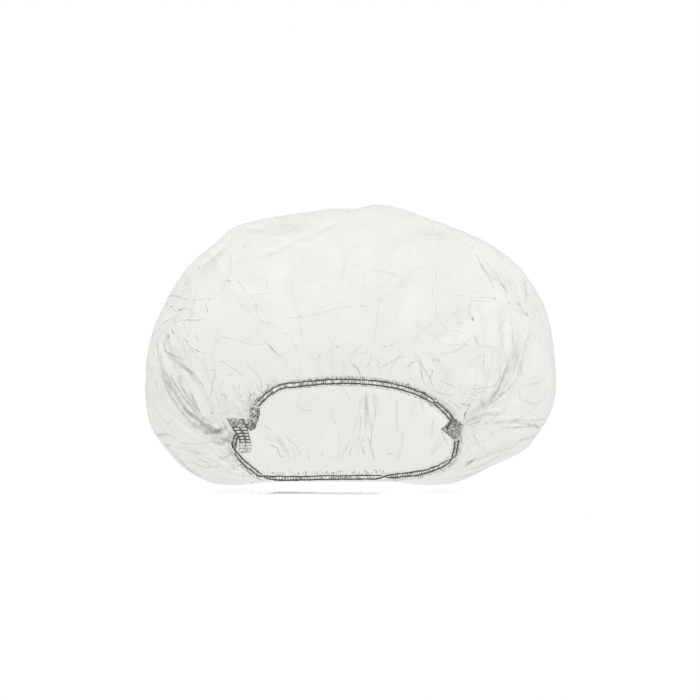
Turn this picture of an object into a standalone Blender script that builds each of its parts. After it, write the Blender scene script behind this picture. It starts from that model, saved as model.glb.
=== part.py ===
"""Clear film shower cap, puffed out and lying on its side with its gathered mouth facing -Y.

Lengths are in metres and angles in degrees. +X runs along the width, +Y runs back from the
mouth and +Z is up. The cap is a hollow shell of film that ends in a ruffled hem, an elastic
band sewn over that hem round the mouth, and the strip where the ends of the elastic are lapped.
"""
import math
from typing import NamedTuple

import bmesh
import bpy
import numpy as np
from mathutils import Vector
from mathutils.bvhtree import BVHTree

# Driving dimensions of the puffed film crown
CROWN_HALF_WIDTH = 0.150
CROWN_CENTRE_HEIGHT = 0.090
CROWN_REAR_DEPTH = 0.105
POLE_HEIGHT = 0.096
FILM_WALL = 0.001
BASE_DROP = 1.667
FRONT_ROUNDNESS = 2.2
REAR_ROUNDNESS = 2.3
BASE_ROUNDNESS = 3.0

# Driving dimensions of the mouth and the elastic
MOUTH_HALF_WIDTH = 0.082
MOUTH_HALF_HEIGHT = 0.0365
MOUTH_SIDE_SHIFT = -0.0015
MOUTH_CENTRE_HEIGHT = 0.0417
MOUTH_DEPTH = 0.060
MOUTH_LEAN = 10.0
MOUTH_RECESS = 0.022
BAND_WIDTH = 0.006
BAND_EDGE_THICKNESS = 0.0012
BAND_MIDDLE_THICKNESS = 0.0007
BAND_EDGE_WIDTH = 0.0013
SEAT_GAP = 0.0003

# Hem, pleats, folds and settled base
HEM_WIDTH = 0.003
HEM_RUFFLE = 0.0009
PLEAT_COUNT = 27
PLEAT_DEPTH = 0.0034
PLEAT_ONSET = 0.125
PLEAT_REACH = 0.72
PLEAT_WANDER = 2.5
FOLD_WIDTH = 0.010
FOLD_DEPTH = 0.004
FOLD_GIRTH = 0.75
FOLD_RUN = 0.85
SWELL_START = 0.42
BASE_SETTLE = 0.009
CREASE_FADE_HEIGHT = 0.014

# Lapped strip of elastic at the left corner of the mouth
STRIP_LENGTH = 0.0263
STRIP_TOP_WIDTH = 0.0118
STRIP_FOOT_WIDTH = 0.0095
STRIP_THICKNESS = 0.0012
STRIP_RIDGE = 0.0004
STRIP_RIDGE_COUNT = 9
STRIP_SIDE = -0.0840
STRIP_TOP_HEIGHT = 0.0487
STRIP_TILT = 16.0
STRIP_ROLL = 22.0
STRIP_SWING = 4.0
STRIP_LANES = (-1, -0.5, 0, 0.5, 1)

# Resolution of the faceted solids
COLUMNS = 108
FRONT_ROWS = 8
REAR_ROWS = 8


class Outline(NamedTuple):
    """How far the crown reaches at one angle about its centre, seen from the front."""

    angle: float
    reach: float
    ring_depth: float
    swell: float
    settle: float


class Mouth(NamedTuple):
    """How far the band lies from the mouth's centre, as a share of its ellipse."""

    angle: float
    reach: float


class Twist(NamedTuple):
    """One half turn of the band about its own length."""

    angle: float
    spread: float


class Fold(NamedTuple):
    """One valley in the film, from start to end. Along is 0 at the mouth, 1 at the outline, 2 at the pole.

    Width is a share of FOLD_WIDTH and depth a share of FOLD_DEPTH.
    """

    start_angle: float
    start_along: float
    end_angle: float
    end_along: float
    width: float
    depth: float


# Reach is a share of CROWN_HALF_WIDTH, ring_depth of MOUTH_DEPTH (towards the mouth),
# swell of MOUTH_RECESS and settle of BASE_SETTLE.
OUTLINE = (
    Outline(0, 1.000, 0.00, 0.60, 0.0),
    Outline(20, 0.987, 0.00, 0.85, 0.0),
    Outline(40, 0.905, 0.00, 1.00, 0.0),
    Outline(50, 0.843, 0.00, 1.00, 0.0),
    Outline(62, 0.810, 0.00, 1.00, 0.0),
    Outline(80, 0.783, 0.00, 1.00, 0.0),
    Outline(98, 0.757, 0.00, 1.00, 0.0),
    Outline(112, 0.783, 0.00, 1.00, 0.0),
    Outline(121, 0.832, 0.00, 1.00, 0.0),
    Outline(130, 0.888, 0.00, 1.00, 0.0),
    Outline(140, 0.892, 0.00, 1.00, 0.0),
    Outline(152, 0.930, 0.00, 0.90, 0.0),
    Outline(168, 0.972, 0.00, 0.65, 0.0),
    Outline(184, 1.003, 0.00, 0.45, 0.0),
    Outline(200, 1.020, 0.05, 0.50, 0.0),
    Outline(212, 0.970, 0.12, 0.62, 0.2),
    Outline(224, 0.880, 0.22, 0.45, 0.6),
    Outline(238, 0.735, 0.36, 0.15, 1.0),
    Outline(270, 0.625, 0.42, 0.00, 1.0),
    Outline(297, 0.700, 0.36, 0.12, 1.0),
    Outline(312, 0.820, 0.24, 0.45, 0.7),
    Outline(324, 0.885, 0.12, 0.75, 0.2),
    Outline(335, 0.965, 0.04, 0.75, 0.0),
    Outline(349, 1.015, 0.00, 0.60, 0.0),
)

MOUTH = (
    Mouth(0, 0.97),
    Mouth(24, 0.94),
    Mouth(55, 0.96),
    Mouth(95, 0.96),
    Mouth(114, 0.99),
    Mouth(125, 1.03),
    Mouth(138, 0.98),
    Mouth(156, 0.92),
    Mouth(174, 0.93),
    Mouth(190, 1.01),
    Mouth(207, 1.11),
    Mouth(222, 1.17),
    Mouth(233, 1.22),
    Mouth(243, 1.13),
    Mouth(257, 1.02),
    Mouth(272, 0.99),
    Mouth(290, 1.03),
    Mouth(307, 1.11),
    Mouth(325, 1.12),
    Mouth(341, 1.03),
)

TWISTS = (
    Twist(207, 12),
    Twist(235, 7),
    Twist(290, 8),
    Twist(327, 10),
)

FOLDS = (
    Fold(192, 0.10, 172, 0.80, 1.0, 1.62),
    Fold(172, 0.80, 140, 0.92, 1.3, 1.05),
    Fold(186, 0.20, 160, 0.62, 0.9, 0.88),
    Fold(352, 0.10, 8, 0.72, 1.0, 1.62),
    Fold(8, 0.72, 34, 0.90, 1.3, 1.05),
    Fold(4, 0.25, 28, 0.60, 0.9, 0.88),
    Fold(212, 0.45, 204, 0.98, 1.0, 1.00),
    Fold(328, 0.40, 336, 0.98, 1.0, 1.00),
    Fold(130, 1.00, 100, 0.70, 1.2, 1.00),
    Fold(134, 0.96, 112, 0.45, 1.2, 0.88),
    Fold(70, 0.15, 62, 0.85, 1.0, 0.88),
    Fold(84, 0.30, 88, 1.10, 1.0, 0.70),
    Fold(50, 0.20, 34, 0.80, 1.1, 0.88),
    Fold(112, 1.20, 96, 1.55, 1.4, 1.00),
    Fold(60, 1.20, 74, 1.50, 1.4, 0.95),
    Fold(26, 1.18, 40, 1.50, 1.4, 0.95),
    Fold(150, 1.18, 138, 1.48, 1.4, 1.00),
    Fold(184, 1.20, 168, 1.50, 1.3, 0.88),
    Fold(350, 1.20, 6, 1.50, 1.3, 0.88),
    Fold(210, 1.10, 196, 1.45, 1.2, 0.88),
    Fold(334, 1.10, 346, 1.45, 1.2, 0.88),
)


def around(rows, column, angles):
    """Smooth values of one column of a table that goes right round, at the given angles."""
    knots = np.array([row.angle for row in rows], float)
    values = np.array([getattr(row, column) for row in rows], float)
    knots = np.concatenate([knots[-2:] - 360, knots, knots[:2] + 360])
    values = np.concatenate([values[-2:], values, values[:2]])
    slopes = np.gradient(values, knots)
    turned = np.mod(angles, 360)
    at = np.clip(np.searchsorted(knots, turned, side="right") - 1, 0, len(knots) - 2)
    step = knots[at + 1] - knots[at]
    part = (turned - knots[at]) / step
    return (
        values[at] * (2 * part**3 - 3 * part**2 + 1)
        + slopes[at] * step * (part**3 - 2 * part**2 + part)
        + values[at + 1] * (3 * part**2 - 2 * part**3)
        + slopes[at + 1] * step * (part**3 - part**2)
    )


def mouth_axes():
    """The direction up the leaning mouth plane, and the one that faces out of it."""
    lean = math.radians(MOUTH_LEAN)
    return np.array([0, math.sin(lean), math.cos(lean)]), np.array([0, -math.cos(lean), math.sin(lean)])


def band_line(angles):
    """The middle of the elastic round the mouth: its points, and the directions out of the mouth."""
    up, face = mouth_axes()
    centre = np.array([MOUTH_SIDE_SHIFT, -MOUTH_DEPTH + MOUTH_CENTRE_HEIGHT * up[1], MOUTH_CENTRE_HEIGHT])

    def place(turn):
        reach = around(MOUTH, "reach", turn)
        across = reach * MOUTH_HALF_WIDTH * np.cos(np.radians(turn))
        rise = reach * MOUTH_HALF_HEIGHT * np.sin(np.radians(turn))
        return centre + across[:, None] * np.array([1, 0, 0]) + rise[:, None] * up

    ahead = place(angles + 1) - place(angles - 1)
    ahead /= np.linalg.norm(ahead, axis=1)[:, None]
    return place(angles), np.cross(ahead, face)


def band_turn(angles):
    """How far the band is turned about its own length, in radians."""
    turn = np.zeros_like(angles)
    for twist in TWISTS:
        off = np.clip((angles - twist.angle) / twist.spread, -1, 1)
        turn += math.pi * (0.5 + 0.75 * off - 0.25 * off**3)
    return turn


def band_half_extent(angles):
    """Half of the room that the turned band takes up, square to the mouth plane."""
    turn = band_turn(angles)
    return BAND_WIDTH / 2 * np.abs(np.sin(turn)) + BAND_EDGE_THICKNESS / 2 * np.abs(np.cos(turn))


def hem_ring(angles, out, ruffle=0.0):
    """One ring of the film behind the band, at a distance out from the band's middle."""
    _, face = mouth_axes()
    middle, outward = band_line(angles)
    back = band_half_extent(angles) + SEAT_GAP
    wave = ruffle * (1 - np.cos(math.pi * np.arange(len(angles)))) / 2
    return middle + outward * out - face * (back + wave)[:, None]


def outline_ring(angles):
    """The ring where the crown is widest. It may run below the base, which is flattened later."""
    reach = around(OUTLINE, "reach", angles)
    depth = -around(OUTLINE, "ring_depth", angles) * MOUTH_DEPTH
    turn = np.radians(angles)
    side = reach * CROWN_HALF_WIDTH * np.cos(turn)
    tall = np.where(np.sin(turn) < 0, BASE_DROP * CROWN_CENTRE_HEIGHT, CROWN_HALF_WIDTH)
    return np.stack([side, depth, CROWN_CENTRE_HEIGHT + reach * tall * np.sin(turn)], axis=1)


def front_ring(angles, share):
    """A ring between the band's outer edge (share 0) and the widest ring (share 1)."""
    inner = hem_ring(angles, BAND_WIDTH / 2)
    outer = outline_ring(angles)
    ring = inner + (outer - inner) * share
    recess = around(OUTLINE, "swell", angles) * MOUTH_RECESS
    swell_front = inner[:, 1] - recess
    ring[:, 1] = outer[:, 1] + (swell_front - outer[:, 1]) * math.sqrt(1 - share**FRONT_ROUNDNESS)
    ring[:, 1] += recess * max(0.0, 1 - share / SWELL_START) ** 2
    return ring


def rear_ring(angles, turn):
    """A ring behind the widest one, turn radians round towards the pole."""
    outer = outline_ring(angles)
    settle = around(OUTLINE, "settle", angles)
    power = 2 / (REAR_ROUNDNESS + (BASE_ROUNDNESS - REAR_ROUNDNESS) * settle)
    inward = math.cos(turn) ** power
    back = math.sin(turn) ** power
    pole = np.array([0, CROWN_REAR_DEPTH, POLE_HEIGHT])
    ring = np.empty_like(outer)
    ring[:, 0] = outer[:, 0] * inward
    ring[:, 1] = outer[:, 1] + (pole[1] - outer[:, 1]) * back
    ring[:, 2] = pole[2] + (outer[:, 2] - pole[2]) * inward
    ring[:, 2] -= BASE_SETTLE * settle * math.sin(2 * turn)
    return ring


def crown_rings(angles):
    """The smooth crown as rings from the mouth to near the pole, with how far along each one is."""
    rings = []
    along = []
    for row in range(FRONT_ROWS + 1):
        share = math.sin(math.pi / 2 * row / FRONT_ROWS)
        rings.append(front_ring(angles, share))
        along.append(share)
    for row in range(1, REAR_ROWS):
        turn = math.pi / 2 * row / REAR_ROWS
        rings.append(rear_ring(angles, turn))
        along.append(1 + row / REAR_ROWS)
    return np.array(rings), np.array(along)


def crease_depth(angles, along):
    """How far the film is pushed in at each point: pleats at the mouth and the large folds."""
    turn, reach = np.meshgrid(angles, along)
    fade = np.clip(1 - reach / PLEAT_REACH, 0, 1) * np.clip(reach / PLEAT_ONSET, 0, 1)
    wander = turn + PLEAT_WANDER * np.sin(np.radians(3 * turn))
    depth = PLEAT_DEPTH * fade * (1 - np.cos(np.radians(PLEAT_COUNT * wander))) / 2
    scale = np.array([math.radians(1) * FOLD_GIRTH, FOLD_RUN]) * CROWN_HALF_WIDTH
    for fold in FOLDS:
        sweep = (fold.end_angle - fold.start_angle + 180) % 360 - 180
        run = np.array([sweep, fold.end_along - fold.start_along]) * scale
        beside = (turn - fold.start_angle + 180) % 360 - 180
        offset = np.stack([beside, reach - fold.start_along], axis=-1) * scale
        part = np.clip((offset @ run) / (run @ run), 0, 1)
        away = np.linalg.norm(offset - part[..., None] * run, axis=-1)
        depth += fold.depth * FOLD_DEPTH * np.exp(-((away / (fold.width * FOLD_WIDTH)) ** 2))
    return depth


def outward_directions(rings):
    """Unit directions out of a closed grid of rings."""
    around_step = np.roll(rings, -1, axis=1) - np.roll(rings, 1, axis=1)
    along_step = np.gradient(rings, axis=0)
    out = np.cross(around_step, along_step)
    out /= np.maximum(np.linalg.norm(out, axis=2), 1e-9)[..., None]
    middle = np.array([0, 0, CROWN_CENTRE_HEIGHT])
    facing = np.sign(((rings - middle) * out).sum(axis=2).mean())
    return out * facing


def film_rings():
    """All rings of the film's outer face, from the free edge of the hem to the ring before the pole."""
    angles = np.arange(COLUMNS) * 360 / COLUMNS
    smooth, along = crown_rings(angles)
    depth = crease_depth(angles, along)
    depth *= np.clip(smooth[..., 2] / CREASE_FADE_HEIGHT, 0, 1)
    depth[0] = 0
    creased = smooth - outward_directions(smooth) * depth[..., None]
    hem = [
        hem_ring(angles, -BAND_WIDTH / 2 - HEM_WIDTH, HEM_RUFFLE),
        hem_ring(angles, -BAND_WIDTH / 2),
    ]
    rings = np.concatenate([hem, creased])
    rings[..., 2] = np.maximum(rings[..., 2], 0)
    return rings


def material(name, colour, roughness, alpha=1.0):
    """A Principled surface of one colour."""
    made = bpy.data.materials.new(name)
    made.use_nodes = True
    shader = made.node_tree.nodes["Principled BSDF"]
    shader.inputs["Base Color"].default_value = (*colour, 1)
    shader.inputs["Roughness"].default_value = roughness
    shader.inputs["Metallic"].default_value = 0
    shader.inputs["Alpha"].default_value = alpha
    return made


def finish_object(name, shape, surface):
    """A smooth-shaded object from a bmesh, linked to the scene."""
    bmesh.ops.recalc_face_normals(shape, faces=shape.faces)
    mesh = bpy.data.meshes.new(name)
    shape.to_mesh(mesh)
    shape.free()
    mesh.shade_smooth()
    mesh.materials.append(surface)
    made = bpy.data.objects.new(name, mesh)
    bpy.context.scene.collection.objects.link(made)
    return made


def make_crown_film():
    """The film shell: a ring at the hem, extruded ring by ring to the pole, then given its wall."""
    rings = film_rings()
    shape = bmesh.new()
    line = list(bmesh.ops.create_circle(shape, segments=COLUMNS, radius=1)["verts"])
    edges = list(shape.edges)
    for vertex, place in zip(line, rings[0]):
        vertex.co = place
    for ring in rings[1:]:
        grown = bmesh.ops.extrude_edge_only(shape, edges=edges)["geom"]
        fresh = {item for item in grown if isinstance(item, bmesh.types.BMVert)}
        line = [next(e.other_vert(v) for e in v.link_edges if e.other_vert(v) in fresh) for v in line]
        edges = [item for item in grown if isinstance(item, bmesh.types.BMEdge)]
        for vertex, place in zip(line, ring):
            vertex.co = place
    cap = bmesh.ops.contextual_create(shape, geom=edges)["faces"]
    pole = bmesh.ops.poke(shape, faces=cap)["verts"][0]
    pole.co = (0, CROWN_REAR_DEPTH, POLE_HEIGHT)
    made = finish_object("crown_film", shape, material("clear film", (0.86, 0.85, 0.83), 0.25, 0.35))
    wall = made.modifiers.new("Film wall", "SOLIDIFY")
    wall.thickness = FILM_WALL
    wall.offset = -1
    wall.use_even_offset = False
    return made


def loft(sections, closed):
    """A bmesh whose skin runs through sections of equally many points, closed round or capped."""
    shape = bmesh.new()
    loops = [[shape.verts.new(point) for point in section] for section in sections]
    pairs = list(zip(loops, loops[1:] + loops[:1]))
    if not closed:
        pairs = pairs[:-1]
        shape.faces.new(loops[0])
        shape.faces.new(loops[-1])
    for first, second in pairs:
        for a, b, c, d in zip(first, first[1:] + first[:1], second[1:] + second[:1], second):
            shape.faces.new((a, b, c, d))
    return shape


def ribbon_profile(width, edge_thickness, middle_thickness, edge_width):
    """Points round a ribbon's section, as (across, through), with a thick cord at each edge."""
    side = [
        (-width / 2, -edge_thickness / 2),
        (-width / 2 + edge_width, -middle_thickness / 2),
        (width / 2 - edge_width, -middle_thickness / 2),
        (width / 2, -edge_thickness / 2),
    ]
    return side + [(across, -through) for across, through in reversed(side)]


def clearance(point, face, carriers):
    """How far a point stands in front of the nearest carrier behind or before it, along the mouth's facing."""
    far = Vector(point) + Vector(face) * CROWN_HALF_WIDTH
    hits = [tree.ray_cast(far, -Vector(face))[3] for tree in carriers]
    return min([hit - CROWN_HALF_WIDTH for hit in hits if hit is not None], default=CROWN_HALF_WIDTH)


def make_elastic_band():
    """The elastic: a ribbon right round the mouth, turned over where its twists are."""
    _, face = mouth_axes()
    angles = np.arange(COLUMNS) * 360 / COLUMNS
    middle, outward = band_line(angles)
    turn = band_turn(angles)
    profile = ribbon_profile(BAND_WIDTH, BAND_EDGE_THICKNESS, BAND_MIDDLE_THICKNESS, BAND_EDGE_WIDTH)
    sections = []
    for place, out, angle in zip(middle, outward, turn):
        across = out * math.cos(angle) + face * math.sin(angle)
        through = face * math.cos(angle) - out * math.sin(angle)
        sections.append([place + across * a + through * b for a, b in profile])
    return finish_object("elastic_band", loft(sections, True), material("band", (0.30, 0.29, 0.28), 0.7))


def make_elastic_join(carriers):
    """The lapped end of the elastic: a ridged strip laid on the band and film at the mouth's left corner."""
    up, face = mouth_axes()
    tilt = math.radians(STRIP_TILT)
    swing = math.radians(STRIP_SWING)
    roll = math.radians(STRIP_ROLL)
    side = np.array([1, 0, 0])
    down = (side * math.sin(tilt) - up * math.cos(tilt)) * math.cos(swing) + face * math.sin(swing)
    level = side * math.cos(tilt) + up * math.sin(tilt)
    across = level * math.cos(roll) - face * math.sin(roll)
    through = np.cross(down, across)
    start = np.array([STRIP_SIDE, -MOUTH_DEPTH + STRIP_TOP_HEIGHT * up[1] / up[2], STRIP_TOP_HEIGHT])
    steps = STRIP_RIDGE_COUNT * 2
    sections = []
    for step in range(steps + 1):
        share = step / steps
        half = (STRIP_TOP_WIDTH + (STRIP_FOOT_WIDTH - STRIP_TOP_WIDTH) * share) / 2
        thick = STRIP_THICKNESS / 2 + STRIP_RIDGE * (step % 2)
        place = start + down * STRIP_LENGTH * share
        backs = [place + across * half * a - through * thick for a in STRIP_LANES]
        fronts = [place + across * half * a + through * thick for a in reversed(STRIP_LANES)]
        sections.append(backs + fronts)
    seat = min(clearance(point, face, carriers) for section in sections for point in section)
    sections = [[point + face * (SEAT_GAP - seat) for point in section] for section in sections]
    return finish_object("elastic_join", loft(sections, False), material("join", (0.62, 0.60, 0.57), 0.6))


def tree_of(made):
    """A tree of the faces of an object's own mesh, for casting rays at it."""
    mesh = made.data
    return BVHTree.FromPolygons([v.co for v in mesh.vertices], [p.vertices for p in mesh.polygons])


def stand_on_origin(pieces):
    """Parents the pieces to an empty that puts the middle of the cap's base at the world's origin."""
    film = pieces[0].data
    places = np.array([vertex.co for vertex in film.vertices])
    middle = (places.min(axis=0) + places.max(axis=0)) / 2
    holder = bpy.data.objects.new("cap_holder", None)
    holder.location = (-middle[0], -middle[1], 0)
    bpy.context.scene.collection.objects.link(holder)
    for piece in pieces:
        piece.parent = holder


def clear_scene():
    """Removes whatever the scene holds."""
    for found in list(bpy.data.objects):
        bpy.data.objects.remove(found)


def main():
    """Builds the three pieces of the cap."""
    clear_scene()
    film = make_crown_film()
    band = make_elastic_band()
    join = make_elastic_join([tree_of(film), tree_of(band)])
    stand_on_origin([film, band, join])


main()
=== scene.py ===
"""Looks of a clear film shower cap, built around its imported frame.

Lengths are in metres and angles in degrees. +X runs along the cap's width, +Y runs back from its
mouth and +Z is up. The crown is one disc of film, gathered on a band of elastic round the mouth.
"""

import logging
import math
from dataclasses import dataclass, field
from enum import Enum
from typing import NamedTuple

import bmesh
import bpy
import numpy as np
from mathutils import Matrix, Vector, noise
from mathutils.bvhtree import BVHTree

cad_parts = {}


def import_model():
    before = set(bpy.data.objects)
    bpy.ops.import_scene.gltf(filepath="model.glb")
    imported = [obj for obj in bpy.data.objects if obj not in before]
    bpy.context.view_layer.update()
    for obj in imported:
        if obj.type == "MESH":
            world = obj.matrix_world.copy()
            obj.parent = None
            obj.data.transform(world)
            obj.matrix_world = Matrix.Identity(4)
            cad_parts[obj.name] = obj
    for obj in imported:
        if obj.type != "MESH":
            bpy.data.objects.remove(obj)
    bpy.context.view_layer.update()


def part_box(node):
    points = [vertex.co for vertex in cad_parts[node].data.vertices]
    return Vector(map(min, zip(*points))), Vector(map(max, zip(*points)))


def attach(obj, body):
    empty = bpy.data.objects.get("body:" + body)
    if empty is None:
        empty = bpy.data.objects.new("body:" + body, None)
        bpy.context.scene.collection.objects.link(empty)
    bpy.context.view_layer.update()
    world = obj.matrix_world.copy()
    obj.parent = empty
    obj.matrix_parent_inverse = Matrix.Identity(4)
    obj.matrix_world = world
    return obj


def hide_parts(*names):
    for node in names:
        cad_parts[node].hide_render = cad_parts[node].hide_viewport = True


LOG = logging.getLogger("shower_cap")
BODY = "root"
Array = np.ndarray

# The axis that a crumple's grid is turned about.
FACET_AXIS = (0.4, 0.8, 0.45)
# How far the faces at a point disagree where a bend begins to show, and where it shows in full.
BEND_RANGE = (0.004, 0.05)


class Slot(Enum):
    """The record's material slots."""

    FILM = "film"
    BAND = "band"
    JOIN = "join"


class OutlineRow(NamedTuple):
    """How far the crown reaches at one angle about its centre, seen from the front."""

    angle: float
    reach: float
    ring_depth: float
    swell: float
    settle: float


class MouthRow(NamedTuple):
    """How far the band lies from the mouth's centre at one angle, as a share of its ellipse."""

    angle: float
    reach: float


class TwistRow(NamedTuple):
    """One half turn of the band about its own length."""

    angle: float
    spread: float


class FoldRow(NamedTuple):
    """One valley in the film. Along is 0 at the mouth, 1 at the outline and 2 at the pole."""

    start_angle: float
    start_along: float
    end_angle: float
    end_along: float
    width: float
    depth: float


class CreaseRow(NamedTuple):
    """One crease: its width, and the line that it draws when the cap is seen from the front, in millimetres.

    Its depth is how strong a painted shade it carries; a depth below 0 makes a fold with a painted highlight
    instead.
    """

    width: float
    depth: float
    route: tuple


class FringeRow(NamedTuple):
    """Flecks of painted shade, some of painted highlight, that stand for the gathered film beside the band, over a
    range of angles.
    """

    start: float
    end: float
    side: int
    near: float
    far: float
    count: int
    depth: float


class StrandRow(NamedTuple):
    """One strand of bunched film: its route by width, height and lift off the mouth's plane, in millimetres."""

    route: tuple
    radius: float
    paleness: float


class EdgeRow(NamedTuple):
    """One height of a small patch, with its left and right edges seen from the front, in millimetres."""

    height: float
    left: float
    right: float


class FacetRow(NamedTuple):
    """One size of flat-sided crumple: deep everywhere, and deeper where the film is crumpled."""

    size: float
    turn: float
    depth: float
    everywhere: float
    crumpled: float


class LampRow(NamedTuple):
    """One soft box: where it hangs, its size, and its power in watts."""

    name: str
    place: tuple
    width: float
    height: float
    power: float


class PleatRow(NamedTuple):
    """One family of gathers that run out from the band."""

    count: int
    depth: float
    reach: float


def creases(*rows: tuple) -> tuple[CreaseRow, ...]:
    """Crease rows of a width, a depth, and the route as places along the width and heights by turns."""
    return tuple(CreaseRow(row[0], row[1], tuple(zip(row[2::2], row[3::2]))) for row in rows)


OUTLINE = (
    OutlineRow(0, 1.015, 0.00, 0.60, 0.0),
    OutlineRow(20, 1.000, 0.00, 0.85, 0.0),
    OutlineRow(40, 0.905, 0.00, 1.00, 0.0),
    OutlineRow(50, 0.843, 0.00, 1.00, 0.0),
    OutlineRow(62, 0.810, 0.00, 1.00, 0.0),
    OutlineRow(80, 0.783, 0.00, 1.00, 0.0),
    OutlineRow(98, 0.757, 0.00, 1.00, 0.0),
    OutlineRow(112, 0.783, 0.00, 1.00, 0.0),
    OutlineRow(121, 0.832, 0.00, 1.00, 0.0),
    OutlineRow(130, 0.888, 0.00, 1.00, 0.0),
    OutlineRow(140, 0.892, 0.00, 1.00, 0.0),
    OutlineRow(152, 0.930, 0.00, 0.90, 0.0),
    OutlineRow(168, 0.972, 0.00, 0.65, 0.0),
    OutlineRow(184, 1.003, 0.00, 0.45, 0.0),
    OutlineRow(200, 1.020, 0.05, 0.50, 0.0),
    OutlineRow(212, 0.970, 0.12, 0.62, 0.2),
    OutlineRow(224, 0.880, 0.22, 0.45, 0.6),
    OutlineRow(238, 0.735, 0.36, 0.15, 1.0),
    OutlineRow(270, 0.625, 0.42, 0.00, 1.0),
    OutlineRow(297, 0.700, 0.36, 0.12, 1.0),
    OutlineRow(312, 0.795, 0.24, 0.45, 0.7),
    OutlineRow(324, 0.875, 0.12, 0.75, 0.2),
    OutlineRow(335, 0.978, 0.04, 0.75, 0.0),
    OutlineRow(349, 1.035, 0.00, 0.60, 0.0),
)

MOUTH = (
    MouthRow(0, 0.97),
    MouthRow(24, 0.94),
    MouthRow(55, 0.96),
    MouthRow(95, 0.96),
    MouthRow(114, 0.99),
    MouthRow(125, 1.03),
    MouthRow(138, 0.98),
    MouthRow(156, 0.91),
    MouthRow(174, 0.87),
    MouthRow(190, 1.01),
    MouthRow(207, 1.11),
    MouthRow(222, 1.17),
    MouthRow(233, 1.22),
    MouthRow(243, 1.13),
    MouthRow(257, 1.02),
    MouthRow(272, 0.99),
    MouthRow(290, 1.03),
    MouthRow(307, 1.11),
    MouthRow(325, 1.12),
    MouthRow(341, 1.03),
)

TWISTS = (
    TwistRow(204, 8),
    TwistRow(232.5, 5),
    TwistRow(289, 6),
    TwistRow(327, 10),
)

FOLDS = (
    FoldRow(192, 0.10, 172, 0.80, 0.0100, 0.0065),
    FoldRow(172, 0.80, 140, 0.92, 0.0130, 0.0042),
    FoldRow(186, 0.20, 160, 0.62, 0.0090, 0.0035),
    FoldRow(352, 0.10, 8, 0.72, 0.0100, 0.0065),
    FoldRow(8, 0.72, 34, 0.90, 0.0130, 0.0042),
    FoldRow(4, 0.25, 28, 0.60, 0.0090, 0.0035),
    FoldRow(212, 0.40, 207, 0.70, 0.0090, 0.0036),
    FoldRow(328, 0.35, 333, 0.70, 0.0090, 0.0036),
    FoldRow(130, 1.00, 100, 0.70, 0.0120, 0.0040),
    FoldRow(134, 0.96, 112, 0.45, 0.0120, 0.0035),
    FoldRow(70, 0.15, 62, 0.85, 0.0100, 0.0035),
    FoldRow(84, 0.30, 88, 1.10, 0.0100, 0.0028),
    FoldRow(50, 0.20, 34, 0.80, 0.0110, 0.0035),
    FoldRow(112, 1.20, 96, 1.55, 0.0140, 0.0040),
    FoldRow(60, 1.20, 74, 1.50, 0.0140, 0.0038),
    FoldRow(26, 1.18, 40, 1.50, 0.0140, 0.0038),
    FoldRow(150, 1.18, 138, 1.48, 0.0140, 0.0040),
    FoldRow(184, 1.20, 168, 1.50, 0.0130, 0.0035),
    FoldRow(350, 1.20, 6, 1.50, 0.0130, 0.0035),
    FoldRow(210, 1.30, 196, 1.60, 0.0120, 0.0035),
    FoldRow(334, 1.30, 346, 1.60, 0.0120, 0.0035),
)

SIDE_CREASES = (
    FoldRow(188, 0.06, 176, 0.60, 0.0030, 0.0030),
    FoldRow(176, 0.60, 152, 0.88, 0.0035, 0.0026),
    FoldRow(196, 0.08, 180, 0.72, 0.0030, 0.0026),
    FoldRow(180, 0.72, 158, 0.97, 0.0035, 0.0024),
    FoldRow(184, 0.10, 166, 0.55, 0.0026, 0.0022),
    FoldRow(200, 0.12, 190, 0.85, 0.0032, 0.0022),
    FoldRow(178, 0.12, 158, 0.48, 0.0030, 0.0020),
    FoldRow(356, 0.06, 8, 0.58, 0.0030, 0.0030),
    FoldRow(8, 0.58, 28, 0.84, 0.0035, 0.0026),
    FoldRow(348, 0.10, 4, 0.74, 0.0030, 0.0026),
    FoldRow(4, 0.74, 20, 0.98, 0.0034, 0.0022),
    FoldRow(0, 0.10, 20, 0.50, 0.0026, 0.0022),
    FoldRow(342, 0.10, 352, 0.92, 0.0032, 0.0020),
    FoldRow(10, 0.12, 30, 0.46, 0.0028, 0.0018),
)

# Ridges that carry painted shade beside their crests, or a painted highlight where the depth is below 0.
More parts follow.
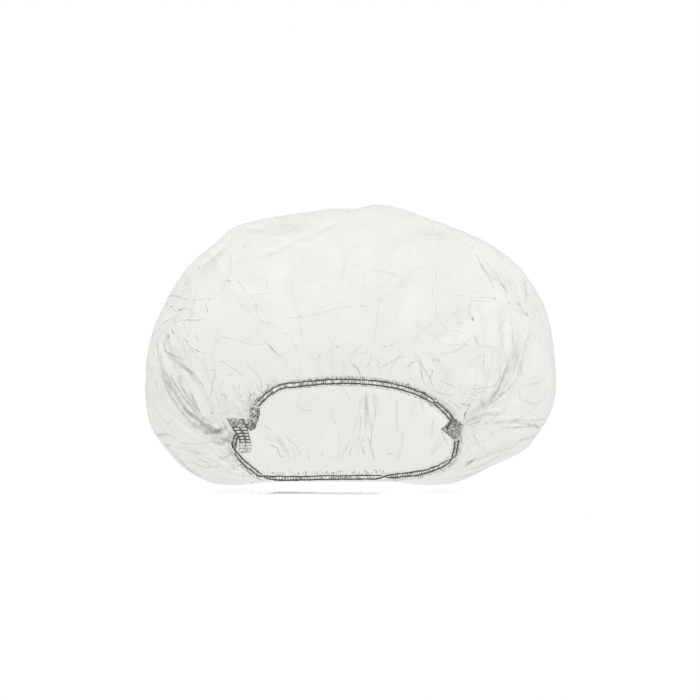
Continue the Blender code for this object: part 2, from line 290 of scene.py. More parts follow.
FRONT_CREASES = creases(
    (5.9, 0.17, -82, 164, -54, 171, -36, 180, -3, 193),
    (4.5, 0.14, -69, 163, -47, 173),
    (4.5, 0.12, -87, 188, -64, 186, -48, 184, -36, 190),
    (1.5, 0.3, -72, 185, -64, 186),
    (1.5, 0.25, -56, 183, -48, 184),
    (6.6, 0.3, -109, 158, -99, 167, -89, 176),
    (2.4, 0.47, -122, 146, -117, 152),
    (2.4, 0.66, -111, 160, -110, 157),
    (1.5, 0.28, -81, 169, -79, 173, -75, 178),
    (4.5, 0.2, -89, 175, -86, 162, -88, 151, -93, 142, -102, 136),
    (2.4, 0.37, -89, 153, -88, 149),
    (1.5, 0.47, -102, 137, -105, 133, -103, 127),
    (2.4, 0.38, -125, 136, -115, 136, -103, 137),
    (1.5, 0.3, -82, 150, -78, 143, -77, 138),
    (1.5, 0.3, -79, 137, -68, 140, -61, 141, -61, 149, -61, 154, -58, 157, -54, 162),
    (2, 0.22, -43, 164, -42, 143, -39, 132, -36, 123, -34, 103),
    (2.4, 0.37, -70, 134, -67, 130),
    (2.4, 0.26, -68, 132, -67, 126, -64, 120, -56, 119, -49, 112, -40, 110),
    (1.5, 0.3, -64, 120, -54, 119),
    (2, 0.26, -50, 122, -36, 124, -20, 127, -12, 130, 1, 132, 15, 132),
    (2.4, 0.3, 7, 132, 15, 132),
    (2.4, 0.43, -129, 117, -126, 121, -116, 121, -103, 122),
    (1.5, 0.29, -125, 115, -119, 116),
    (2, 0.21, -98, 105, -93, 110, -80, 107, -72, 104, -64, 104, -58, 105),
    (2, 0.3, -93, 109, -88, 108),
    (2, 0.66, -61, 105, -56, 100, -52, 97, -48, 94),
    (1.5, 0.57, -50, 100, -49, 94),
    (2, 0.37, -43, 108, -40, 103, -37, 98),
    (1.5, 0.25, -15, 110, -12, 103, -15, 97),
    (2.4, 0.37, -10, 104, -8, 101),
    (2.4, 0.29, -20, 98, -23, 92, -22, 85),
    (2, 0.38, -121, 108, -115, 98, -110, 91),
    (2, 0.43, -118, 102, -109, 98, -104, 98),
    (1.5, 0.34, -112, 113, -110, 105),
    (2.4, 0.72, -138, 117, -135, 120, -130, 123, -127, 120),
    (2.4, 0.66, -137, 134, -133, 138, -129, 139, -124, 138),
    (1.5, 0.57, -136, 130, -134, 134),
    (2, 0.76, -127, 127, -123, 129, -118, 130),
    (2.4, 0.76, -136, 105, -134, 109, -132, 111),
    (3.7, 0.51, -136, 107, -135, 98, -127, 94, -121, 91),
    (4.5, 0.59, -135, 96, -127, 91, -121, 86, -112, 80),
    (2.4, 0.95, -122, 88, -116, 83, -112, 80),
    (2.4, 0.47, -112, 80, -108, 75, -105, 68),
    (3.7, 0.3, -140, 114, -141, 100, -137, 86, -131, 75),
    (4.5, 0.72, -136, 86, -131, 75, -125, 64, -119, 55, -111, 48, -104, 45),
    (2.4, 0.76, -132, 82, -127, 72, -119, 61, -113, 53),
    (2.4, 0.57, -116, 67, -112, 59, -109, 53),
    (2.4, 0.57, -138, 83, -133, 69, -125, 57, -116, 47, -106, 40),
    (4.5, 0.85, -112, 45, -105, 40, -99, 39, -92, 43),
    (2.4, 0.66, -119, 48, -110, 41, -102, 37),
    (2.4, 0.66, -105, 45, -97, 41, -90, 40),
    (2, 0.38, -144, 78, -140, 70),
    (2, 0.57, -128, 78, -122, 70, -114, 60, -107, 50, -98, 45),
    (2, 0.66, -107, 87, -100, 85, -97, 85),
    (2.4, 0.4, -98, 84, -100, 74, -102, 61),
    (2, 0.47, -91, 80, -85, 83),
    (1.5, 0.47, -92, 79, -93, 73),
    (2.4, 0.81, -86, 75, -83, 70),
    (1.5, 0.47, -80, 76, -82, 69, -78, 64),
    (2, 0.47, -95, 68, -89, 66, -91, 62),
    (2, 0.43, -105, 66, -101, 61, -100, 54),
    (2.4, 0.86, -102, 54, -99, 53),
    (1.5, 0.34, -97, 53, -89, 54, -81, 58),
    (2, 0.29, -76, 91, -69, 83, -64, 78),
    (2.4, 0.29, -98, 92, -91, 91, -80, 83, -75, 79),
    (2, 0.43, -86, 61, -81, 56, -80, 51),
    (2.4, 0.47, -75, 72, -72, 66, -75, 60),
    (2.4, 0.57, -68, 75, -66, 69),
    (2, 0.47, -65, 78, -64, 70),
    (2, 0.43, -56, 81, -53, 75),
    (4.5, 0.17, -3, 167, 2, 161, 12, 160, 26, 157, 37, 154, 46, 150, 56, 146, 61, 143),
    (2.4, 0.18, 67, 144, 78, 141, 87, 138),
    (2, 0.26, 11, 170, 11, 151, 12, 136),
    (1.5, 0.18, 15, 147, 23, 146),
    (1.5, 0.18, 31, 146, 39, 146),
    (4.5, 0.14, 22, 142, 22, 129, 19, 110, 17, 99),
    (2, 0.28, 63, 162, 64, 152, 61, 143, 63, 132, 64, 123),
    (2, 0.28, 64, 123, 69, 117, 72, 114, 81, 113, 86, 112),
    (4.5, 0.12, 64, 121, 52, 113, 46, 102),
    (2, 0.42, 46, 100, 49, 94),
    (2, 0.25, 62, 113, 64, 106),
    (2, 0.21, 64, 105, 78, 103, 84, 105),
    (3.7, 0.27, 65, 97, 78, 99, 85, 104),
    (2, 0.37, 83, 105, 87, 103),
    (2.4, 0.18, 72, 125, 80, 128, 86, 129),
    (2, 0.18, 71, 123, 72, 119, 83, 120),
    (2, 0.37, 87, 138, 89, 136, 103, 135, 106, 137),
    (4.5, 0.23, 89, 136, 88, 129, 90, 121),
    (2.4, 0.43, 90, 124, 91, 121),
    (2.4, 0.43, 91, 110, 94, 104, 99, 102),
    (1.5, 0.24, 98, 102, 108, 102),
    (2, 0.29, 98, 101, 99, 76),
    (2, 0.26, 92, 171, 96, 164, 100, 154, 103, 148),
    (3.7, 0.38, 101, 164, 108, 154, 114, 146, 116, 140),
    (2.4, 0.43, 114, 149, 116, 141),
    (2, 0.28, 70, 188, 75, 187, 78, 187),
    (4.5, 0.16, 80, 178, 89, 176, 93, 171),
    (3.7, 0.16, 52, 200, 59, 193, 64, 187),
    (3.7, 0.32, 129, 152, 130, 143, 130, 132),
    (3.2, 0.51, 124, 136, 128, 127, 131, 124),
    (3.7, 0.24, 133, 123, 132, 110, 129, 100, 127, 89, 123, 79, 116, 70, 109, 64),
    (2.4, 0.53, 116, 96, 116, 89, 113, 81, 110, 72, 105, 64, 101, 59),
    (2.4, 0.36, 125, 100, 123, 91, 119, 79, 113, 72, 108, 67),
    (2.4, 0.34, 129, 90, 124, 78, 115, 68, 107, 63),
    (2, 0.43, 111, 91, 110, 79, 106, 72),
    (5.9, 0.2, 113, 136, 115, 123, 111, 114, 113, 103, 116, 97),
    (5.1, 0.25, 119, 114, 121, 103, 121, 92),
    (3.7, 0.51, 114, 70, 108, 63, 102, 59),
    (2.4, 0.47, 97, 72, 105, 73, 112, 78),
    (2.4, 0.32, 10, 105, 4, 98, 1, 91),
    (2.4, 0.56, 0, 91, 6, 86, 9, 80),
    (2, 0.32, 8, 98, 17, 97, 16, 91, 12, 86),
    (2, 0.39, 18, 94, 22, 91, 20, 86),
    (2.4, 0.42, 21, 86, 27, 89, 32, 91),
    (2.4, 0.35, 26, 88, 36, 94, 42, 95),
    (2.4, 0.26, 23, 102, 30, 103, 36, 107),
    (2.4, 0.34, 40, 98, 34, 92, 29, 83),
    (2.4, 0.49, 49, 94, 52, 90, 53, 81, 56, 73),
    (2.4, 0.49, 42, 86, 45, 91, 50, 91),
    (2, 0.53, 55, 89, 61, 90, 63, 94),
    (2, 0.56, 64, 94, 67, 91),
    (2.4, 0.53, 58, 84, 62, 85, 59, 78, 62, 72),
    (2, 0.35, 53, 98, 60, 97),
    (2.4, 0.47, 61, 71, 64, 69, 70, 67, 77, 66),
    (2.4, 0.29, 64, 79, 72, 75, 79, 72),
    (2, 0.57, 83, 69, 86, 67),
    (2, 0.57, 87, 70, 91, 66, 94, 67),
    (1.5, 0.47, 90, 71, 96, 68, 98, 72),
    (1.5, 0.38, 86, 65, 91, 63, 96, 64),
    (1.5, 0.34, 93, 75, 97, 72, 99, 69),
    (1.5, 0.47, 89, 72, 93, 71, 97, 73),
    (2.4, 0.34, 72, 64, 78, 60, 83, 54),
    (3.2, 0.3, 125, 72, 125, 64, 132, 61, 138, 59),
    (3.7, 0.3, 125, 72, 136, 75, 146, 78),
    (3.7, 0.34, -144, 35, -138, 37, -132, 38, -127, 33),
    (2.4, 0.47, -142, 37, -136, 36),
    (3.2, 0.64, -136, 29, -131, 29),
    (2.4, 0.47, -125, 31, -113, 31, -100, 32),
    (4.5, 0.77, -101, 34, -93, 31, -88, 36, -85, 38),
    (2.4, 0.29, -136, 40, -131, 47),
    (2.4, 0.21, -146, 63, -140, 52, -131, 42),
    (2.4, 0.29, -127, 28, -116, 25, -105, 24),
    (2.4, 0.57, -101, 29, -100, 26),
    (3.2, 0.42, -99, 24, -93, 20, -87, 23),
    (3.2, 0.42, -116, 18, -111, 15, -104, 14, -93, 15),
    (2.4, 0.34, -112, 20, -105, 18, -100, 13),
    (2.4, 0.21, -128, 22, -119, 12, -109, 6),
    (2.4, 0.24, -91, 12, -80, 8, -72, 7),
    (2.4, 0.57, -93, 48, -90, 41, -85, 37),
    (4.4, 0.45, 83, 44, 89, 49, 97, 51),
    (2.4, 0.57, 85, 44, 91, 46, 97, 48),
    (2.4, 0.57, 83, 51, 86, 55, 88, 61),
    (3.7, 0.59, 81, 61, 89, 59),
    (2.4, 0.72, 86, 55, 84, 47),
    (4.5, 0.32, 97, 53, 110, 53, 116, 57),
    (4.4, 0.35, 97, 64, 100, 56),
    (4.1, 0.51, 102, 45, 113, 48, 121, 48, 132, 45, 138, 42),
    (2.4, 0.47, 110, 43, 125, 43, 135, 44),
    (3.2, 0.38, 116, 50, 129, 48, 145, 48),
    (3.7, 0.68, 135, 45, 140, 42),
    (2.4, 0.38, 102, 40, 109, 37),
    (3.7, 0.26, 89, 40, 94, 34, 96, 26),
    (4.1, 0.41, 83, 15, 89, 19, 96, 21, 103, 24, 118, 28, 127, 34, 140, 37),
    (3.7, 0.64, 84, 16, 91, 20),
    (3.2, 0.27, 81, 11, 96, 15, 110, 22, 122, 26),
    (2.4, 0.19, 78, 6, 96, 10, 118, 18),
    (2.4, 0.24, 86, 31, 89, 23, 83, 15),
    (7.3, 0.28, -135, 114, -132, 104, -128, 94, -121, 88, -113, 82),
    (5.9, 0.49, -140, 88, -134, 76, -126, 67, -119, 56, -110, 48, -101, 42, -90, 37),
    (7.3, 0.41, -127, 80, -121, 70, -115, 60, -110, 50),
    (5.9, 0.49, -119, 57, -112, 48, -102, 41, -91, 37),
    (5.1, 0.45, -100, 37, -93, 34, -86, 32),
    (5.1, 0.3, -99, 36, -90, 34, -84, 33),
    (11, 0.13, 120, 123, 125, 107, 123, 88, 114, 73, 103, 61),
    (8.8, 0.32, 110, 72, 102, 61, 91, 53, 84, 48),
    (5.9, 0.26, 84, 48, 96, 52, 110, 54),
    (4.4, 0.18, 86, 42, 96, 45, 110, 50),
    (1.9, 0.67, -94, 30, -91, 34, -88, 37),
    (1.5, 0.45, -94, 33, -89, 38, -85, 40),
    (1.5, 0.56, -90, 27, -86, 34),
    (4.4, 0.3, -99, 36, -93, 41, -87, 45),
    (1.3, 0.39, -121, 136, -119, 127),
    (1.9, 0.34, -146, 114, -143, 102, -144, 92),
    (1.3, 0.56, -132, 129, -128, 123, -130, 117),
    (1.3, 0.39, -127, 121, -121, 117, -118, 108),
    (1.3, 0.56, -131, 91, -125, 88, -121, 82),
    (1.3, 0.56, -75, 66, -71, 61, -70, 66),
    (1.3, 0.56, -72, 69, -68, 64),
    (1.5, 0.5, -81, 64, -75, 60, -72, 56),
    (1.8, -0.3, -135, 82, -130, 73, -125, 66, -121, 57, -116, 50),
    (1.5, -0.3, -113, 75, -110, 68, -108, 61, -105, 51),
    (1.5, -0.3, -118, 54, -111, 49, -105, 45, -91, 41),
    (1.5, -0.3, -131, 100, -124, 92, -115, 86),
    (1.5, -0.3, -138, 110, -135, 102, -136, 95),
    (1.5, -0.3, -90, 67, -89, 62, -88, 57),
    (1.5, -0.3, -96, 63, -93, 59),
    (1.5, -0.3, -138, 35, -133, 32, -127, 31, -112, 31),
    (1.8, -0.3, -95, 33, -90, 40, -84, 45),
    (1.5, -0.3, -91, 26, -87, 29),
    (1.5, -0.3, -131, 25, -125, 23, -116, 23),
    (1.5, -0.24, -119, 124, -112, 121, -103, 121),
    (1.5, -0.3, -138, 120, -131, 125, -124, 127),
    (1.5, -0.3, -80, 60, -75, 56, -74, 51),
    (1.5, -0.3, -64, 75, -59, 79),
    (1.5, -0.3, 119, 75, 123, 81, 125, 88, 131, 100),
    (1.8, -0.3, 100, 57, 106, 63, 113, 70),
    (1.5, -0.3, 86, 63, 90, 68, 94, 72),
    (1.5, -0.3, 106, 50, 115, 51, 125, 51, 140, 48),
    (1.5, -0.3, 81, 41, 86, 45, 90, 48),
    (1.5, -0.3, 100, 28, 108, 32, 116, 37, 131, 45),
    (1.5, -0.3, 72, 61, 78, 57, 83, 53),
    (1.5, -0.3, 67, 66, 71, 61),
    (1.5, -0.3, 110, 45, 119, 45),
    (1.5, -0.3, 49, 91, 51, 85),
    (1.5, -0.3, 55, 88, 59, 91),
    (1.5, -0.3, 23, 94, 29, 98),
    (1.5, -0.3, 4, 88, 8, 83),
    (1.5, -0.24, 125, 64, 126, 70, 135, 73),
    (1.5, -0.24, 86, 146, 91, 139, 96, 130),
    (1.5, -0.21, 59, 186, 64, 177),
    (2.2, -0.21, -36, 183, -24, 187, -7, 195),
    (1.9, 1.01, -130, 136, -129, 135),
    (1.5, 0.78, -126, 138, -124, 137),
    (1.9, 1.12, -132, 131, -130, 130),
    (2.2, 1.12, -130, 128, -127, 127),
    (1.9, 0.9, -126, 129, -122, 127),
    (1.5, 0.78, -119, 130, -116, 127),
    (2.2, -0.3, -131, 126, -127, 124),
    (1.9, 1.01, -128, 124, -124, 122),
    (1.9, 0.9, -135, 120, -132, 121),
    (1.5, 0.67, -120, 121, -116, 122),
    (1.8, -0.3, -125, 119, -122, 116),
    (2.2, 0.9, -134, 110, -131, 107),
    (1.9, 0.9, -131, 114, -128, 110),
    (1.5, 0.67, -127, 109, -125, 105),
    (1.5, 0.78, -121, 108, -118, 104),
    (1.5, 0.62, -113, 110, -110, 106),
    (1.9, 0.9, -111, 159, -110, 157),
    (2.2, 0.9, -89, 151, -87, 149),
    (1.9, 0.78, -103, 138, -102, 136),
    (2.2, 0.78, -69, 135, -67, 132),
    (1.5, 0.56, -105, 130, -103, 126),
    (1.3, 0.45, -83, 151, -78, 147, -77, 141),
    (1.9, 0.62, 94, 164, 100, 157, 107, 151, 113, 146, 116, 140),
    (1.9, 0.45, 93, 170, 99, 158, 104, 150, 107, 141),
    (1.5, 0.56, 89, 136, 89, 138, 97, 138, 107, 137),
    (1.9, 0.9, 106, 138, 108, 136),
    (2.2, 1.01, 123, 134, 125, 131),
    (2.2, 1.01, 130, 127, 132, 123),
    (1.9, 0.78, 116, 135, 119, 132),
    (2.2, 1.01, 90, 124, 91, 120),
    (10.2, 0.13, 96, 187, 110, 171, 121, 147, 127, 121),
    (11.7, 0.12, 94, 136, 100, 118, 100, 100),
    (8.8, 0.14, 110, 136, 113, 107, 109, 85),
    (8.8, 0.1, 78, 136, 83, 118, 75, 100),
    (8.8, 0.09, 52, 107, 67, 89, 78, 74),
    (7.3, 0.22, -135, 100, -124, 83, -115, 67, -109, 52),
    (5.9, 0.2, -130, 103, -119, 88, -112, 73),
    (8.8, 0.1, -113, 176, -98, 164, -89, 147),
    (8.8, 0.1, -120, 158, -115, 136, -112, 114),
    (8.8, 0.26, -140, 103, -136, 83, -128, 64, -116, 48, -103, 38),
    (6.6, 0.28, -134, 88, -125, 69, -112, 53, -99, 42),
    (5.9, 0.5, -112, 48, -102, 41, -90, 40),
    (7.3, 0.22, 114, 100, 116, 83, 108, 67, 96, 56),
    (3.7, 0.35, 49, 98, 55, 86, 61, 75),
    (4.4, 0.12, -36, 67, -14, 73, 15, 75, 37, 72),
    (3.7, 0.3, 58, 69, 72, 60, 80, 50),
)

# Ridges inside the mouth that carry painted shade, as the rows above.
MOUTH_CREASES = creases(
    (2.2, 0.43, -40, 55, -36, 51, -25, 49),
    (1.8, 0.47, -16, 53, -12, 45, -8, 34, -7, 23, -9, 15, -12, 12),
    (2.2, 0.38, -72, 39, -64, 39, -58, 35),
    (8.8, 0.3, -64, 32, -53, 28, -45, 18),
    (2.2, 0.68, -61, 25, -54, 22, -52, 16, -48, 15),
    (2.2, 0.68, -43, 23, -40, 14),
    (2.2, 0.38, -48, 31, -40, 23, -35, 15),
    (2.2, 0.54, -31, 21, -30, 13),
    (2.2, 0.47, -19, 21, -21, 14),
    (2.6, 0.51, 18, 62, 22, 57, 20, 49),
    (3.7, 0.43, 12, 64, 13, 45, 12, 33),
    (2.9, 0.41, 9, 48, 8, 30, 5, 20),
    (2.2, 0.57, 16, 45, 17, 34, 16, 23, 19, 11),
    (2.6, 0.43, 12, 34, 17, 23, 20, 11),
    (2.2, 0.57, 0, 28, -3, 19, -7, 11),
    (2.2, 0.54, 6, 30, 2, 22, -1, 14),
    (2.2, 0.81, 10, 24, 11, 17),
    (2.2, 0.51, 36, 58, 36, 33),
    (4.4, 0.32, 41, 36, 40, 23, 35, 12),
    (2.9, 0.3, 64, 44, 61, 29),
    (2.9, 0.38, 71, 31, 65, 25, 61, 16),
    (2.2, 0.41, 27, 18, 33, 18),
    (2.2, 0.27, -7, 75, -3, 64, 2, 56),
    (2.2, 0.24, -43, 69, -36, 60),
    (3.7, 0.22, 52, 60, 58, 48),
    (5.1, 0.34, 13, 66, 14, 50, 16, 34),
    (3.7, 0.3, 9, 60, 7, 45, 2, 29),
    (2.2, 0.42, 18, 64, 20, 48, 17, 34),
    (2.2, 0.4, 12, 32, 8, 22, 6, 13),
    (2.2, 0.38, -3, 25, -6, 18, -10, 12),
    (4.4, 0.3, -56, 34, -49, 25, -44, 13),
    (2.9, 0.34, 70, 28, 65, 20, 61, 15),
)

FRINGE = (
    FringeRow(33, 118, 1, 1.9, 3.1, 250, 1.6),
    FringeRow(55, 112, 1, 2.2, 4.4, 130, 1.2),
    FringeRow(33, 118, -1, 2.0, 3.5, 200, 1.2),
    FringeRow(118, 160, 1, 1.8, 3.2, 90, 1.3),
    FringeRow(126, 160, 1, 2.6, 8.5, 120, 0.95),
    FringeRow(180, 204, 1, 2.0, 5.0, 50, 1.0),
    FringeRow(204, 232, 1, 1.9, 4.0, 80, 1.3),
    FringeRow(204, 232, 1, 3.0, 9.0, 120, 1.0),
    FringeRow(233, 289, -1, 3.2, 4.6, 110, 1.9),
    FringeRow(233, 289, -1, 1.9, 5.6, 80, 1.2),
    FringeRow(289, 328, 1, 1.9, 4.4, 140, 1.3),
    FringeRow(289, 345, -1, 1.9, 3.2, 50, 0.8),
    FringeRow(328, 354, 1, 1.9, 4.2, 60, 1.0),
    FringeRow(2, 33, 1, 1.8, 3.0, 80, 1.3),
)

LAMPS = (
    LampRow("left soft box", (-1.2, -1.4, 2.0), 1.6, 1.8, 8),
    LampRow("right soft box", (1.3, -1.3, 1.9), 1.4, 1.8, 6),
)

FACETS = (
    FacetRow(0.062, 0.3, 0.0050, 1.0, 0.0),
    FacetRow(0.030, 1.1, 0.0026, 0.35, 0.65),
    FacetRow(0.014, 2.0, 0.0012, 0.0, 1.0),
)

PLEATS = (
    PleatRow(23, 0.0025, 0.60),
    PleatRow(47, 0.0014, 0.36),
    PleatRow(89, 0.0008, 0.20),
)

JOIN_EDGES = (
    EdgeRow(48.7, -90.0, -77.1),
    EdgeRow(45.4, -88.3, -76.1),
    EdgeRow(41.7, -86.2, -74.7),
    EdgeRow(38.4, -84.3, -73.8),
    EdgeRow(36.2, -82.1, -73.2),
    EdgeRow(33.7, -81.2, -72.5),
    EdgeRow(30.7, -80.6, -71.9),
    EdgeRow(27.1, -80.9, -71.6),
    EdgeRow(24.5, -81.1, -71.9),
    EdgeRow(22.8, -80.0, -73.8),
)

BUNCH_EDGES = (
    EdgeRow(61.1, -69.7, -67.0),
    EdgeRow(58.5, -71.3, -66.1),
    EdgeRow(55.6, -73.3, -65.9),
    EdgeRow(52.7, -72.9, -66.1),
    EdgeRow(49.8, -74.0, -66.9),
    EdgeRow(46.8, -74.3, -67.2),
    EdgeRow(43.9, -73.9, -68.9),
    EdgeRow(41.7, -73.7, -69.1),
    EdgeRow(39.8, -73.2, -71.7),
)

BUNCH_STRANDS = (
    StrandRow(
        (
            (-65.9, 56.4, 1.6), (-66.3, 54.1, 2), (-66.1, 52.1, 2.3), (-67, 50.1, 2.4),
            (-67.1, 47.8, 2.4), (-68.6, 45.4, 2.4), (-69.2, 42.4, 2.2), (-71.3, 41, 2),
            (-73.5, 40.2, 1.8),
        ),
        0.75,
        0.1,
    ),
    StrandRow(
        (
            (-73.5, 55.1, 1.8), (-70.6, 55.9, 2.2), (-67.8, 54.6, 2.6), (-66.7, 52.2, 2.7),
            (-68.5, 50.6, 2.6), (-70.6, 51.9, 2.4), (-71.9, 53.5, 2.2),
        ),
        0.6,
        0.2,
    ),
    StrandRow(
        (
            (-71.9, 51.2, 2), (-69.8, 50.1, 2.4), (-67.8, 48.7, 2.7), (-68.3, 46.5, 2.7),
            (-70.2, 45, 2.5), (-71.7, 46.8, 2.2),
        ),
        0.55,
        0.25,
    ),
    StrandRow(
        (
            (-74.5, 48.4, 1.8), (-74, 45.4, 2.2), (-73.2, 42.1, 2.2), (-71, 43.5, 2.5),
            (-71.3, 45.7, 2.6), (-72.7, 48.1, 2.4),
        ),
        0.5,
        0.1,
    ),
)

TUCK_STRANDS = (
    StrandRow(((74.6, 51.0, 0.9), (75.2, 48.6, 2.6), (73.2, 45.2, 3.2), (71.1, 41.5, 3.0)), 0.62, -0.3),
    StrandRow(((67.1, 41.2, 1.2), (68.6, 36.8, 1.0), (72.0, 30.4, 0.8)), 0.22, 0.4),
)


def between(knots: Array, values: Array, places: Array) -> Array:
    """Reads values between knots, on a smooth curve that passes through them all.

    Args:
        knots: Where the values are, in rising order.
        values: One value or one row of values at each knot.
        places: Where to read them.

    Returns:
        The values at the places.
    """
    slopes = np.gradient(values, knots, axis=0)
    at = np.clip(np.searchsorted(knots, places, side="right") - 1, 0, len(knots) - 2)
    step = knots[at + 1] - knots[at]
    part = (places - knots[at]) / step
    if values.ndim > 1:
        step, part = step[:, None], part[:, None]
    return (
        values[at] * (2 * part**3 - 3 * part**2 + 1)
        + slopes[at] * step * (part**3 - 2 * part**2 + part)
        + values[at + 1] * (3 * part**2 - 2 * part**3)
        + slopes[at + 1] * step * (part**3 - part**2)
    )


def route_runs(route: Array) -> Array:
    """How far along a route each of its points lies."""
    return np.concatenate([[0], np.cumsum(np.linalg.norm(np.diff(route, axis=0), axis=1))])


def smooth_route(route: Array, shares: Array) -> Array:
    """Points of a smooth line through a route's points, by their shares of its length."""
    runs = route_runs(route)
    return between(runs / runs[-1], route, shares)


def around(rows: tuple, column: str, angles: Array) -> Array:
    """Reads one column of a table that goes right round, smoothly between its rows.

    Args:
        rows: The table, with an angle column in rising order.
        column: The name of the column to read.
        angles: Where to read it, in degrees.

    Returns:
        The column's value at each angle.
    """
    knots = np.array([row.angle for row in rows], float)
    values = np.array([getattr(row, column) for row in rows], float)
    knots = np.concatenate([knots[-2:] - 360, knots, knots[:2] + 360])
    values = np.concatenate([values[-2:], values, values[:2]])
    return between(knots, values, np.mod(angles, 360))


def smoothstep(low: float, high: float, value: Array) -> Array:
    """Rises smoothly from 0 at low to 1 at high."""
    part = np.clip((value - low) / (high - low), 0, 1)
    return part * part * (3 - 2 * part)


def grain(points: Array, size: float = 1.0, apart: float = 0.0) -> Array:
    """Soft noise from -1 to 1, with lumps about size across.

    Args:
        points: Where to read it.
        size: About how far across its lumps are.
        apart: How far aside it is read, so that two noises at the same points differ.

    Returns:
        The noise at each point.
    """
    return np.array([noise.noise(Vector(point)) for point in (points + apart) / size])


def crinkled(points: Array, ratio: float) -> Array:
    """Noise with sharp valleys, as of crinkled film, and half as much again that is finer by a ratio."""
    return np.abs(grain(points)) + 0.5 * np.abs(grain(points * ratio, apart=4))


def flat_spots(first: Array, second: Array) -> Array:
    """Points to read noise at, from two coordinates."""
    return np.stack([first, second, first * 0], axis=-1)


def circle(angles: Array, third: Array | float = 0.0, size: float = 1.0) -> Array:
    """Points on a circle, to read noise that closes after a full turn. Third is their third coordinate."""
    turn = np.radians(angles)
    return np.stack([np.cos(turn) * size, np.sin(turn) * size, np.zeros_like(turn) + third], axis=-1)


def squared(wave: Array, power: float) -> Array:
    """A wave raised to a power with its sign kept: a power below 1 makes a section squarer."""
    return np.sign(wave) * np.abs(wave) ** power


def fade_ends(share: Array, rise: float) -> Array:
    """Rises from 0 to 1 and falls back at the two ends of a share from 0 to 1."""
    return np.clip(np.minimum(share, 1 - share) * rise, 0, 1)


def facets(points: Array, size: float, turn: float) -> Array:
    """A crumple of flat faces that meet in sharp ridges.

    Args:
        points: Where to read it.
        size: How far apart its pits are.
        turn: How far its grid is turned, in radians, so that two crumples don't line up.

    Returns:
        The height of the crumple at each point, about 0 to 1.
    """
    spin = np.array(Matrix.Rotation(turn, 3, Vector(FACET_AXIS)))
    placed = points / size @ spin.T
    return np.array([noise.voronoi(Vector(point), distance_metric="CHEBYCHEV")[0][0] for point in placed])


def span(edges: tuple, along: Array, across: Array) -> tuple[Array, Array]:
    """Points between the edges of a patch's table.

    Args:
        edges: The table, from its top down.
        along: How far down the patch they lie, from 0 to 1.
        across: How far across it, from -1 at the left edge to 1 at the right.

    Returns:
        Their places along the width, and their heights.
    """
    table = np.array(edges, float) / 1000
    height = table[0, 0] + (table[-1, 0] - table[0, 0]) * along
    runs = (table[0, 0] - table[:, 0]) / (table[0, 0] - table[-1, 0])
    left, right = (np.interp(along, runs, table[:, column]) for column in (1, 2))
    return (left + right) / 2 + across * (right - left) / 2, height


class Surface(NamedTuple):
    """The relief and the shine of a ribbed surface."""

    relief: float
    depth: float
    roughness: float
    coat: float
    coat_roughness: float


